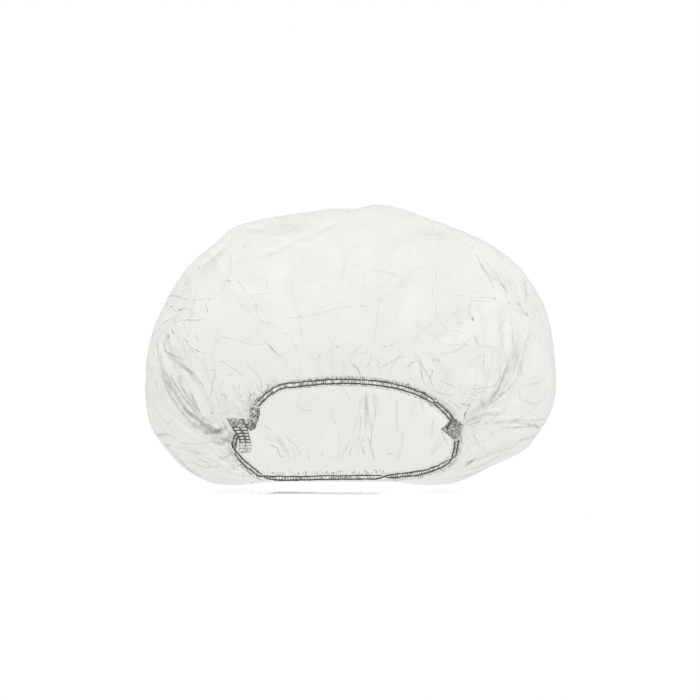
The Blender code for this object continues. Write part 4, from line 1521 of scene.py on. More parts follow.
@dataclass
class FilmCreases:
    """Fine folds that stand on the film as low ridges carrying painted shade and painted highlights, and fade at
    their ends and feet.
    """

    sheet: bpy.types.Object
    finish: CreaseFinish
    step: float = 0.0012
    coarse_step: float = 0.0022
    fewest_steps: int = 4
    strips: int = 8
    fleck_strips: int = 4
    core: float = 0.20
    core_power: float = 1.2
    end_rise: float = 7
    # Where and how strongly the painted highlight lies along a ridge.
    glint_rise: float = 5
    glint_place: float = 0.60
    glint_strength: float = 0.50
    ridge: float = 0.00035
    lift: float = 0.00012
    behind_plane: float = 0.0006
    end_width: float = 0.85
    belly: float = 0.25
    wander: float = 0.0006
    wander_scale: float = 120
    fine_wander: float = 0.55
    fine_ratio: float = 3.1
    look_ahead: float = 0.06
    narrow_width: float = 3.6
    uneven_scales: tuple = (140, 110)
    unevenness: tuple = (0.6, 0.8)
    uneven_level: float = 0.9
    uneven_range: tuple = (0.2, 1.6)
    longest_edge: float = 0.006
    scattered: int = 150
    shortest: float = 0.006
    longest: float = 0.045
    scatter_reach: float = 0.11
    scatter_bow: float = 0.02
    scatter_widths: tuple = (0.0020, 0.0060)
    scatter_depths: tuple = (0.05, 0.20)
    scatter_back: tuple = (1.2, 0.25)
    middle_share: float = 0.35
    front_limit: float = 0.1
    front_share: float = 0.6
    # The share of flecks beside the band that carry a painted highlight in place of painted shade.
    light_flecks: float = 0.3
    shortest_fleck: float = 0.0009
    longest_fleck: float = 0.0021
    fleck_widths: tuple = (0.8, 1.7)
    fleck_lean: float = 25
    # How strong a fleck's painted highlight is, against its painted shade.
    light_depth: float = 0.8
    seed: int = 11
    heart: tuple = (0.0, -0.005, 0.085)

    def __post_init__(self) -> None:
        """Makes the search tree that finds the film."""
        shape = bmesh.new()
        shape.from_mesh(self.sheet.data)
        self.tree = BVHTree.FromBMesh(shape)
        self.missed = []
        shape.free()

    def land(self, origin: Vector, way: Vector, height: float) -> Vector | None:
        """The point where a ray meets the film, raised off it towards the ray's start.

        Args:
            origin: The ray's start.
            way: Its direction.
            height: How far the point is raised.

        Returns:
            The point, or nothing where the ray misses.
        """
        place, normal, _, _ = self.tree.ray_cast(origin, way)
        if place is None:
            return None
        if normal.dot(way) > 0:
            normal = -normal
        return place + normal * (self.lift + height)

    def ridge_grid(
        self, shape: bmesh.types.BMesh, length: float, step: float, strips: int
    ) -> tuple[list, Array, Array]:
        """Adds one flat grid for a ridge.

        Args:
            shape: The mesh to add to.
            length: The ridge's length.
            step: The length of its faces.
            strips: The faces across it.

        Returns:
            The grid's vertices, their shares along the ridge, and their places across it from -1 to 1.
        """
        count = max(self.fewest_steps, round(length / step))
        made = bmesh.ops.create_grid(shape, x_segments=count, y_segments=strips, size=0.5)["verts"]
        return made, np.array([v.co.x + 0.5 for v in made]), np.array([v.co.y * 2 for v in made])

    def settle(self, shape: bmesh.types.BMesh, verts: list, places: list, looks: Array, glints: Array) -> None:
        """Moves a ridge's vertices onto the film and writes its painted shade and its painted highlight at each
        one.
        """
        dark, light = (shape.verts.layers.float[name] for name in ("crease", "glint"))
        for vertex, place, look, glint in zip(verts, places, looks, glints):
            if place is not None:
                vertex.co = place
            vertex[dark] = look
            vertex[light] = glint
        self.missed += [vertex for vertex, place in zip(verts, places) if place is None]

    def look(self, along: Array, across: Array, depth: float) -> Array:
        """How much painted shade a ridge carries: most beside its crest and none at its feet and ends."""
        core = np.clip(1 - np.abs(across + self.core) / (1 - self.core), 0, 1) ** self.core_power
        return max(depth, 0) * core * np.clip(self.end_rise * along * (1 - along), 0, 1)

    def glint(self, along: Array, across: Array, depth: float) -> Array:
        """How much painted highlight a ridge carries: along the other side of its crest, or right across a fold
        whose depth is below 0.
        """
        ends = np.clip(self.glint_rise * along * (1 - along), 0, 1)
        if depth < 0:
            return -depth * (1 - np.abs(across)) * ends
        light = np.clip(1 - np.abs(across - self.glint_place) / (1 - self.glint_place), 0, 1)
        return self.glint_strength * math.sqrt(depth) * light * ends

    def on_film(self, spots: Array, height: Array) -> list:
        """Places on the film, by where they show from the front and how high they stand on it."""
        return [self.land(Vector((x, -1, z)), Vector((0, 1, 0)), rise) for (x, z), rise in zip(spots, height)]

    def trace(self, shape: bmesh.types.BMesh, row: CreaseRow, seed: int, mouth: MouthLine | None = None) -> None:
        """Lays one crease of a table, seen from the front.

        Args:
            shape: The mesh to add to.
            row: The crease.
            seed: A number that sets how it wanders.
            mouth: The line whose plane it lies on, in place of the film.
        """
        route = np.array(row.route, float) / 1000
        runs = route_runs(route)
        strips = self.fleck_strips if runs[-1] < 2 * self.longest_fleck else self.strips
        verts, along, across = self.ridge_grid(shape, runs[-1], self.step, strips)
        spots = np.stack([np.interp(along * runs[-1], runs, route[:, axis]) for axis in (0, 1)], axis=-1)
        ahead = np.clip(along + self.look_ahead, 0, 1) * runs[-1]
        behind = np.clip(along - self.look_ahead, 0, 1) * runs[-1]
        way = np.stack([np.interp(ahead, runs, c) - np.interp(behind, runs, c) for c in route.T], axis=-1)
        way /= np.linalg.norm(way, axis=1)[:, None]
        beside = np.stack([-way[:, 1], way[:, 0]], axis=-1)
        ripple = np.stack([along * runs[-1] * self.wander_scale, np.full_like(along, seed), along * 0], axis=-1)
        finer = ripple * np.array([self.fine_ratio, 1.0, 1.0])
        waves = grain(ripple) + self.fine_wander * grain(finer, apart=8)
        half = row.width / 2000 * (self.end_width + self.belly * np.sin(math.pi * along))
        spots = spots + beside * (waves * self.wander + across * half)[:, None]
        height = self.ridge * (1 - np.abs(across)) * min(1.0, row.width / 3)
        if mouth is None:
            places = self.on_film(spots, height)
        else:
            places = list(mouth.on_plane(spots[:, 0], spots[:, 1], height - self.behind_plane))
        fine = float(np.clip((self.narrow_width - row.width) / 2, 0, 1))
        scale, strength = (low + more * fine for low, more in (self.uneven_scales, self.unevenness))
        place = np.stack([along * runs[-1] * scale, along * 0, along + seed], axis=-1)
        uneven = np.clip(self.uneven_level + strength * grain(place), *self.uneven_range)
        # The ridge's painted shade and painted highlight, uneven along it.
        looks = self.look(along, across, row.depth) * uneven
        self.settle(shape, verts, places, looks, self.glint(along, across, row.depth) * uneven)

    def scatter(self, shape: bmesh.types.BMesh, chance: np.random.Generator) -> None:
        """Lays one crease at a random place on the crown's sides, top or back."""
        start = Vector(chance.normal(size=3)).normalized()
        back = abs(start.y) * self.scatter_back[0] - self.scatter_back[1]
        start = Vector((start.x, back, start.z)).normalized()
        length = self.shortest + (self.longest - self.shortest) * chance.random() ** 2
        turn = Vector(chance.normal(size=3)).cross(start).normalized()
        side = start.cross(turn)
        bow = chance.uniform(-self.scatter_bow, self.scatter_bow)
        width = chance.uniform(*self.scatter_widths)
        depth = chance.uniform(*self.scatter_depths)
        depth *= self.middle_share + (1 - self.middle_share) * abs(start.x)
        depth *= 1.0 if start.y > self.front_limit else self.front_share
        verts, along, across = self.ridge_grid(shape, length, self.coarse_step, self.strips)
        heart = Vector(self.heart)
        places = []
        for share, place in zip(along, across):
            sweep = share * length / self.scatter_reach
            drift = bow * math.sin(math.pi * share) + place * width / 2 / self.scatter_reach
            way = (start + turn * sweep + side * drift).normalized()
            places.append(self.land(heart, way, self.ridge * (1 - abs(place))))
        self.settle(shape, verts, places, self.look(along, across, depth), self.glint(along, across, depth))

    def fleck(
        self, shape: bmesh.types.BMesh, mouth: MouthLine, chance: np.random.Generator, row: FringeRow
    ) -> None:
        """Lays one fleck of painted shade or painted highlight for the gathered film beside the band.

        Args:
            shape: The mesh to add to.
            mouth: The line of the band.
            chance: The source of its place and size.
            row: Where it may lie.
        """
        angle = np.array([chance.uniform(row.start, row.end)])
        start = chance.uniform(row.near, row.far) / 1000
        reach = chance.uniform(self.shortest_fleck, self.longest_fleck)
        lean = mouth.outward(angle + chance.uniform(-self.fleck_lean, self.fleck_lean))[0]
        middle = (mouth.place(angle) + mouth.shift)[0] + mouth.outward(angle)[0] * row.side * start
        near, far = middle - lean * reach / 2, middle + lean * reach / 2
        depth = row.depth * chance.uniform(0.5, 1.0)
        # Some flecks carry a painted highlight in place of painted shade.
        if chance.random() < self.light_flecks:
            depth *= -self.light_depth
        route = tuple((point[0] * 1000, point[2] * 1000) for point in (near, far))
        fleck = CreaseRow(chance.uniform(*self.fleck_widths), depth, route)
        self.trace(shape, fleck, 0, mouth if row.side < 0 else None)

    def build(self, mouth: MouthLine) -> bpy.types.Object:
        """Makes the ridges as one piece: the noted folds, the flecks beside the band and the scattered folds."""
        shape = bmesh.new()
        shape.verts.layers.float.new("crease")
        shape.verts.layers.float.new("glint")
        for number, row in enumerate(FRONT_CREASES + MOUTH_CREASES):
            self.trace(shape, row, number)
        chance = np.random.default_rng(self.seed)
        for row in FRINGE:
            for _ in range(row.count):
                self.fleck(shape, mouth, chance, row)
        for _ in range(self.scattered):
            self.scatter(shape, chance)
        bmesh.ops.delete(shape, geom=self.missed, context="VERTS")
        torn = [face for face in shape.faces if max(edge.calc_length() for edge in face.edges) > self.longest_edge]
        bmesh.ops.delete(shape, geom=torn, context="FACES")
        mesh = close_shape(shape, "film_creases")
        return finish_piece("film_creases", mesh, self.finish.build())


def close_shape(shape: bmesh.types.BMesh, name: str) -> bpy.types.Mesh:
    """Turns a shape into a smooth mesh, and frees it."""
    mesh = bpy.data.meshes.new(name)
    shape.to_mesh(mesh)
    shape.free()
    mesh.shade_smooth()
    return mesh


def link(name: str, data: object) -> bpy.types.Object:
    """Adds an object to the scene."""
    made = bpy.data.objects.new(name, data)
    bpy.context.scene.collection.objects.link(made)
    return made


def mark_creases(mesh: bpy.types.Mesh) -> None:
    """Writes how sharply the mesh bends at each point, from 0 to 1, as its crease attribute."""
    faces = np.zeros(len(mesh.polygons) * 3, np.float32)
    mesh.polygons.foreach_get("normal", faces)
    faces = faces.reshape(-1, 3)
    loops = np.zeros(len(mesh.loops), np.int32)
    mesh.loops.foreach_get("vertex_index", loops)
    owner = np.repeat(np.arange(len(mesh.polygons)), len(mesh.loops) // len(mesh.polygons))
    total = np.zeros((len(mesh.vertices), 3))
    count = np.zeros(len(mesh.vertices))
    np.add.at(total, loops, faces[owner])
    np.add.at(count, loops, 1)
    agreement = np.linalg.norm(total, axis=1) / count
    bend = smoothstep(*BEND_RANGE, 1 - agreement)
    mesh.attributes.new("crease", "FLOAT", "POINT").data.foreach_set("value", bend.astype(np.float32))


def finish_piece(name: str, mesh: bpy.types.Mesh, surface: bpy.types.Material) -> bpy.types.Object:
    """Links a mesh to the scene as a piece of the cap.

    Args:
        name: The piece's name.
        mesh: Its mesh, in place.
        surface: Its material.

    Returns:
        The piece.
    """
    mesh.materials.append(surface)
    piece = link(name, mesh)
    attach(piece, BODY)
    LOG.info("%s: %d faces", name, len(mesh.polygons))
    return piece


class Swept:
    """A grid wrapped to a tube along a line: its U runs along the line and its V round the section."""

    def __init__(self, name: str, columns: int, rows: int) -> None:
        """Makes the flat grid.

        Args:
            name: The mesh's name.
            columns: Steps along the line.
            rows: Steps round the section.
        """
        self.name = name
        self.shape = bmesh.new()
        bmesh.ops.create_grid(self.shape, x_segments=columns, y_segments=rows, size=0.5)
        self.shape.verts.index_update()
        self.u = np.array([vertex.co.x + 0.5 for vertex in self.shape.verts])
        self.v = np.array([vertex.co.y + 0.5 for vertex in self.shape.verts])
        self.turn = self.v * 2 * math.pi

    def mesh(
        self, places: Array, length: float, girth: float, close_line: bool = True, marks: dict | None = None
    ) -> bpy.types.Mesh:
        """Moves the grid into place.

        Args:
            places: Each point's place.
            length: The line's length, for the UV map.
            girth: The section's girth, for the UV map.
            close_line: Whether the last column meets the first. The tube's ends are filled if it doesn't.
            marks: Numbers for each point, by the name of the attribute that keeps them.

        Returns:
            The mesh, with its seams closed and a UV map named run that measures metres.
        """
        for name, values in (marks or {}).items():
            kept = self.shape.verts.layers.float.new(name)
            for vertex, value in zip(self.shape.verts, values):
                vertex[kept] = value
        layer = self.shape.loops.layers.uv.new("run")
        for face in self.shape.faces:
            for loop in face.loops:
                at = loop.vert.index
                loop[layer].uv = (self.u[at] * length, self.v[at] * girth)
        for vertex, point in zip(self.shape.verts, places):
            vertex.co = point
        bmesh.ops.remove_doubles(self.shape, verts=self.shape.verts, dist=1e-6)
        if not close_line:
            rims = [edge for edge in self.shape.edges if edge.is_boundary]
            bmesh.ops.holes_fill(self.shape, edges=rims)
        bmesh.ops.recalc_face_normals(self.shape, faces=self.shape.faces)
        return close_shape(self.shape, self.name)


@dataclass
class ElasticBand:
    """The band of elastic: a dark cord along each edge and a pale ribbed web between them."""

    mouth: MouthLine
    cord_finish: CordFinish
    web_finish: WebFinish
    cord_radius: float = 0.00056
    cord_place: float = 0.00145
    cord_wander: float = 0.00048
    strand_pitch: float = 0.0017
    strand_height: float = 0.10
    cord_swells: tuple = ((0.36, 60), (0.16, 17))
    wander_scales: tuple = (15, 45)
    web_scale: float = 90
    web_squareness: float = 0.6
    rung_unevenness: tuple = (0.7, 0.5)
    draw_run: float = 10
    cord_steps: tuple = (2000, 8)
    web_steps: tuple = (2200, 10)
    web_girth: float = 0.01
    web_thickness: float = 0.0005
    rung_pitch: float = 0.0013
    rung_height: float = 0.00018
    length: float = 0.405
    pinch_angle: float = 34.5
    pinch_spread: float = 1.3
    pinch_depth: float = 0.66
    lower_draw: float = 0.14
    top_middle: float = 96.0
    top_half: float = 60.0

    def pinch(self, angles: Array) -> Array:
        """How far the cords are drawn together at each angle, from 0 to 1."""
        past_top = np.abs(angles - self.top_middle) - self.top_half
        lower = self.lower_draw * np.clip(past_top / self.draw_run, 0, 1)
        return lower + self.pinch_depth * np.exp(-(((angles - self.pinch_angle) / self.pinch_spread) ** 2))

    def section(self, angles: Array, across: Array, through: Array) -> Array:
        """Points of the band by their place in its turned section."""
        turn = self.mouth.turn(angles)
        out = self.mouth.outward(angles)
        face = self.mouth.face
        side = out * np.cos(turn)[:, None] + face * np.sin(turn)[:, None]
        front = face * np.cos(turn)[:, None] - out * np.sin(turn)[:, None]
        return self.mouth.place(angles) + side * across[:, None] + front * through[:, None] + self.mouth.shift

    def cord(self, name: str, side: int) -> bpy.types.Object:
        """Makes the cord along one edge. Side is 1 or -1."""
        grid = Swept(name, *self.cord_steps)
        angles = grid.u * 360
        turn = grid.turn
        spots = circle(angles, side)
        strand = np.cos(2 * math.pi * grid.u * round(self.length / self.strand_pitch) + side * turn)
        swell = 1 + self.strand_height * strand
        for height, scale in self.cord_swells:
            swell += height * grain(spots * scale)
        broad, fine = self.wander_scales
        wander = (grain(spots * broad, apart=3) + 0.5 * grain(spots * fine, apart=7)) * self.cord_wander
        radius = self.cord_radius * swell
        middle = side * self.cord_place * (1 - self.pinch(angles)) + wander
        places = self.section(angles, middle + radius * np.cos(turn), radius * np.sin(turn))
        mesh = grid.mesh(places, self.length, 2 * math.pi * self.cord_radius)
        return finish_piece(name, mesh, self.cord_finish.build())

    def web(self) -> bpy.types.Object:
        """Makes the ribbed middle of the band."""
        grid = Swept("elastic_web", *self.web_steps)
        angles = grid.u * 360
        half = self.cord_place * (1 - self.pinch(angles))
        rung = 0.5 - 0.5 * np.cos(2 * math.pi * grid.u * round(self.length / self.rung_pitch))
        uneven = self.rung_unevenness[0] + self.rung_unevenness[1] * grain(circle(angles) * self.web_scale)
        thick = self.web_thickness / 2 + self.rung_height * rung * uneven
        across = half * np.cos(grid.turn)
        through = thick * squared(np.sin(grid.turn), self.web_squareness)
        mesh = grid.mesh(self.section(angles, across, through), self.length, self.web_girth)
        return finish_piece("elastic_web", mesh, self.web_finish.build())

    def build(self) -> list[bpy.types.Object]:
        """Makes the band's pieces."""
        return [self.cord("elastic_cord_outer", 1), self.cord("elastic_cord_inner", -1), self.web()]


@dataclass
class LappedJoin:
    """The short strip where the elastic's ends are lapped: crimped across, under a cuff of crinkled film."""

    mouth: MouthLine
    finish: JoinFinish
    length: float = 0.0265
    thickness: float = 0.0012
    lift: float = 0.0042
    roll: float = 20.0
    swing: float = 4.0
    crimps: int = 5
    crimp_start: float = 0.26
    crimp_end: float = 0.69
    pillow_height: float = 0.0007
    squareness: tuple = (0.75, 0.45)
    steps: tuple = (160, 64)
    girth: float = 0.025
    end_rise: float = 30
    tail_run: tuple = (0.02, 0.03)
    crimp_blur: float = 0.03
    crimp_bow: tuple = (0.25, 2.2)
    ridge_place: float = 0.46
    pillow_powers: tuple = (3, 1.4)
    crinkle_grain: tuple = (24, 3.4, 2.3)
    crinkle_share: float = 0.6
    # How dark each zone's mark is, and how much its relief lightens it: painted shade in hollows and valleys, paler
    # on crests.
    crimp_marks: tuple = (1.22, 1.25)
    tail_marks: tuple = (0.66, 0.34, 0.45)
    cuff_marks: tuple = (0.80, 0.70)
    edge_range: tuple = (0.78, 0.95)
    edge_marks: tuple = (0.85, 0.62)

    def build(self) -> bpy.types.Object:
        """Makes the strip: a crinkled cuff, two columns of pillows between crimps, and a pale limp tail."""
        grid = Swept("join_strip", *self.steps)
        across = squared(np.cos(grid.turn), self.squareness[0])
        crimp = (grid.u - self.crimp_start) / (self.crimp_end - self.crimp_start)
        blur, (bow, bend) = self.crimp_blur, self.crimp_bow
        inside = smoothstep(-blur, blur, crimp) * smoothstep(1 + blur, 1 - blur, crimp)
        rows = np.abs(np.sin(math.pi * self.crimps * crimp + bow * np.sin(bend * across)))
        columns = np.abs(np.sin(math.pi * (across * 0.5 + self.ridge_place) * 2))
        pillow = np.sqrt(np.clip(rows ** self.pillow_powers[0] * columns ** self.pillow_powers[1], 0, 1))
        along, beside, finer = self.crinkle_grain
        crinkle = crinkled(flat_spots(grid.u * along, across * beside), finer)
        round_off = fade_ends(grid.u, self.end_rise) ** 0.5
        front = squared(np.sin(grid.turn), self.squareness[1])
        relief = inside * pillow + (1 - inside) * crinkle * self.crinkle_share
        height = self.thickness / 2 + self.pillow_height * relief
        out = np.where(front > 0, height, self.thickness / 2) * front * round_off
        side, rise = span(JOIN_EDGES, grid.u, across)
        middle = span(JOIN_EDGES, grid.u, grid.u * 0)[0]
        lift = self.lift - math.tan(math.radians(self.roll)) * (side - middle)
        lift += math.tan(math.radians(self.swing)) * (grid.u - 0.5) * self.length
        places = self.mouth.on_plane(side, rise, lift + out)
        before, after = self.tail_run
        tail = smoothstep(self.crimp_end - before, self.crimp_end + after, grid.u)
        # Near-black in the crimps' hollows, partly dark thread and partly painted shade, paler on the pillows; the
        # tail and cuff are darker in their crinkles' valleys, as painted shade.
        dark = inside * (self.crimp_marks[0] - self.crimp_marks[1] * pillow)
        dark += tail * (self.tail_marks[0] - self.tail_marks[1] * pillow - self.tail_marks[2] * crinkle)
        dark += (1 - inside) * (1 - tail) * (self.cuff_marks[0] - self.cuff_marks[1] * crinkle)
        # Darker towards the strip's two edges, less so on the tail.
        edge = smoothstep(*self.edge_range, np.abs(across)) * (1 - self.edge_marks[1] * tail) * self.edge_marks[0]
        marks = {"crimp": np.clip(np.maximum(dark, edge), 0, 1)}
        mesh = grid.mesh(places, self.length, self.girth, close_line=False, marks=marks)
        return finish_piece("join_strip", mesh, self.finish.build())


@dataclass
class FilmStrand:
    """Film twisted into a thin strand, whose turns are dark and pale one after the other: painted shade where it
    narrows and paler where it swells.
    """

    mouth: MouthLine
    finish: JoinFinish
    scallop: float = 0.12
    scallop_pitch: float = 0.0021
    roughness: float = 0.25
    step: float = 0.00025
    fewest_steps: int = 24
    sides: int = 12
    look_ahead: float = 0.01
    end_rise: float = 12
    grain_scale: float = 700
    # The mark's level, how much painted shade the narrow parts of each turn take, and how much random tone.
    mark_level: float = 0.85
    mark_strengths: tuple = (0.25, 0.5)

    def build(self, name: str, row: StrandRow) -> bpy.types.Object:
        """Makes one strand.

        Args:
            name: The strand's name.
            row: Its route and thickness.

        Returns:
            The strand.
        """
        route = np.array(row.route, float) / 1000
        length = float(route_runs(route)[-1])
        grid = Swept(name, max(self.fewest_steps, round(length / self.step)), self.sides)
        turn = grid.turn
        spots = smooth_route(route, grid.u)
        ahead, behind = (
            smooth_route(route, np.clip(grid.u + off, 0, 1)) for off in (self.look_ahead, -self.look_ahead)
        )
        ahead -= behind
        ahead /= np.linalg.norm(ahead, axis=1)[:, None]
        beside = np.stack([-ahead[:, 1], ahead[:, 0]], axis=-1)
        wave = np.cos(2 * math.pi * grid.u * round(length / self.scallop_pitch) + turn)
        spot = np.stack([grid.u * length * self.grain_scale, np.cos(turn), np.sin(turn)], axis=-1)
        radius = row.radius / 1000 * np.sqrt(fade_ends(grid.u, self.end_rise))
        radius *= 1 + self.scallop * wave + self.roughness * grain(spot)
        flat = spots[:, :2] + beside * (radius * np.cos(turn))[:, None]
        places = self.mouth.on_plane(flat[:, 0], flat[:, 1], spots[:, 2] + radius * np.sin(turn))
        # Painted shade where the strand narrows, paler where it swells, with random tone.
        dark = self.mark_level - self.mark_strengths[0] * wave + self.mark_strengths[1] * grain(spot * 2)
        marks = {"crimp": np.clip(dark - row.paleness, 0, 1)}
        mesh = grid.mesh(places, length, 2 * math.pi * row.radius / 1000, close_line=False, marks=marks)
        return finish_piece(name, mesh, self.finish.build())


@dataclass
class BunchedFilm:
    """Film that is drawn up beside the join: a crinkled pad with a few thick curled folds on it."""

    mouth: MouthLine
    finish: JoinFinish
    lift: float = 0.0014
    thickness: float = 0.0010
    crinkle_height: float = 0.0006
    squareness: tuple = (0.75, 0.45)
    steps: tuple = (110, 56)
    size: tuple = (0.022, 0.02)
    crinkle_grain: tuple = (9, 1.2, 2.6, 2.1)
    end_rise: float = 20
    # How dark the pad's mark is, and how much its crinkles' crests lighten it: painted shade in the valleys.
    marks: tuple = (0.70, 0.75)

    def pad(self) -> bpy.types.Object:
        """Makes the crinkled pad."""
        grid = Swept("bunched_film_pad", *self.steps)
        across = squared(np.cos(grid.turn), self.squareness[0])
        side, rise = span(BUNCH_EDGES, grid.u, across)
        along, slant, beside, finer = self.crinkle_grain
        crinkle = crinkled(flat_spots(grid.u * along + across * slant, across * beside), finer)
        round_off = fade_ends(grid.u, self.end_rise) ** 0.5
        front = squared(np.sin(grid.turn), self.squareness[1])
        height = self.thickness / 2 + self.crinkle_height * crinkle
        out = np.where(front > 0, height, self.thickness / 2) * front * round_off
        places = self.mouth.on_plane(side, rise, self.lift + out)
        # Darker in the crinkles' valleys and paler on their crests: painted shade and painted highlight.
        marks = {"crimp": np.clip(self.marks[0] - self.marks[1] * crinkle, 0, 1)}
        mesh = grid.mesh(places, *self.size, close_line=False, marks=marks)
        return finish_piece("bunched_film_pad", mesh, self.finish.build())

    def build(self) -> list[bpy.types.Object]:
        """Makes the pad and its folds."""
        strand = FilmStrand(self.mouth, self.finish)
        return [self.pad()] + [
            strand.build(f"bunched_film_fold_{number}", row) for number, row in enumerate(BUNCH_STRANDS, 1)
        ]


@dataclass
class CornerTuck:
    """Film pinched over the band at the mouth's right corner, pleated finely across."""

    mouth: MouthLine
    finish: JoinFinish
    tip: tuple = (67.0, 41.4)
    edge: tuple = ((75.6, 49.0), (79.6, 47.6), (83.4, 44.6), (82.0, 39.6), (80.0, 33.6), (78.0, 32.2))
    pleats: int = 13
    slant: float = 2.6
    pleat_height: float = 0.0005
    lift: float = 0.0013
    bulge: float = 0.0012
    thickness: float = 0.00025
    steps: tuple = (96, 84)
    tip_share: float = 0.03
    wander: float = 0.9
    wander_grain: float = 3
    raggedness: float = 0.0008
    ragged_grain: float = 14
    speck_grain: tuple = (13, 20)
    # The fan's grey, and how much its pleats' crests lighten and valleys darken it, as painted highlight and
    # painted shade; lighter near the rim.
    grey: float = 0.62
    contrast: float = 0.34
    pleat_level: float = 0.6
    rim_lightness: float = 0.20
    rim_start: float = 0.88
    rim_foot: float = 0.15

    def fan(self) -> bpy.types.Object:
        """Makes the pleated fan."""
        shape = bmesh.new()
        bmesh.ops.create_grid(shape, x_segments=self.steps[0], y_segments=self.steps[1], size=0.5)
        out = np.array([vertex.co.x + 0.5 for vertex in shape.verts])
        across = np.array([vertex.co.y + 0.5 for vertex in shape.verts])
        rim = smooth_route(np.array(self.edge) / 1000, across)
        tip = np.array(self.tip) / 1000
        spots = tip + (rim - tip) * (self.tip_share + (1 - self.tip_share) * out)[:, None]
        wander = grain(flat_spots(out, across) * self.wander_grain) * self.wander
        pleat = np.abs(np.sin(math.pi * (self.pleats * out + self.slant * across) + wander))
        ragged = grain(flat_spots(across * self.ragged_grain, out * 2)) * self.raggedness * out**4
        lift = self.lift + self.pleat_height * pleat * out
        lift += self.bulge * np.sin(math.pi * out) * np.sin(math.pi * across)
        places = self.mouth.on_plane(spots[:, 0] + ragged, spots[:, 1], lift)
        layer = shape.verts.layers.float.new("crimp")
        speck = grain(flat_spots(out * self.speck_grain[0], across * self.speck_grain[1]))
        # Darker in the pleats' valleys and lighter on their crests, as painted shade and painted highlight, with
        # random specks; lighter near the rim.
        dark = self.grey + self.contrast * (self.pleat_level - pleat + speck)
        dark -= self.rim_lightness * smoothstep(self.rim_start, 1.0, out) * (across > self.rim_foot)
        for vertex, place, mark in zip(shape.verts, places, np.clip(dark, 0, 1)):
            vertex.co = place
            vertex[layer] = mark
        bmesh.ops.solidify(shape, geom=shape.faces, thickness=self.thickness)
        bmesh.ops.recalc_face_normals(shape, faces=shape.faces)
        mesh = close_shape(shape, "corner_tuck")
        return finish_piece("corner_tuck", mesh, self.finish.build())

    def build(self) -> list[bpy.types.Object]:
        """Makes the fan and the two strands at its sides."""
        strand = FilmStrand(self.mouth, self.finish)
        return [self.fan()] + [
            strand.build(f"corner_tuck_edge_{number}", row) for number, row in enumerate(TUCK_STRANDS, 1)
        ]


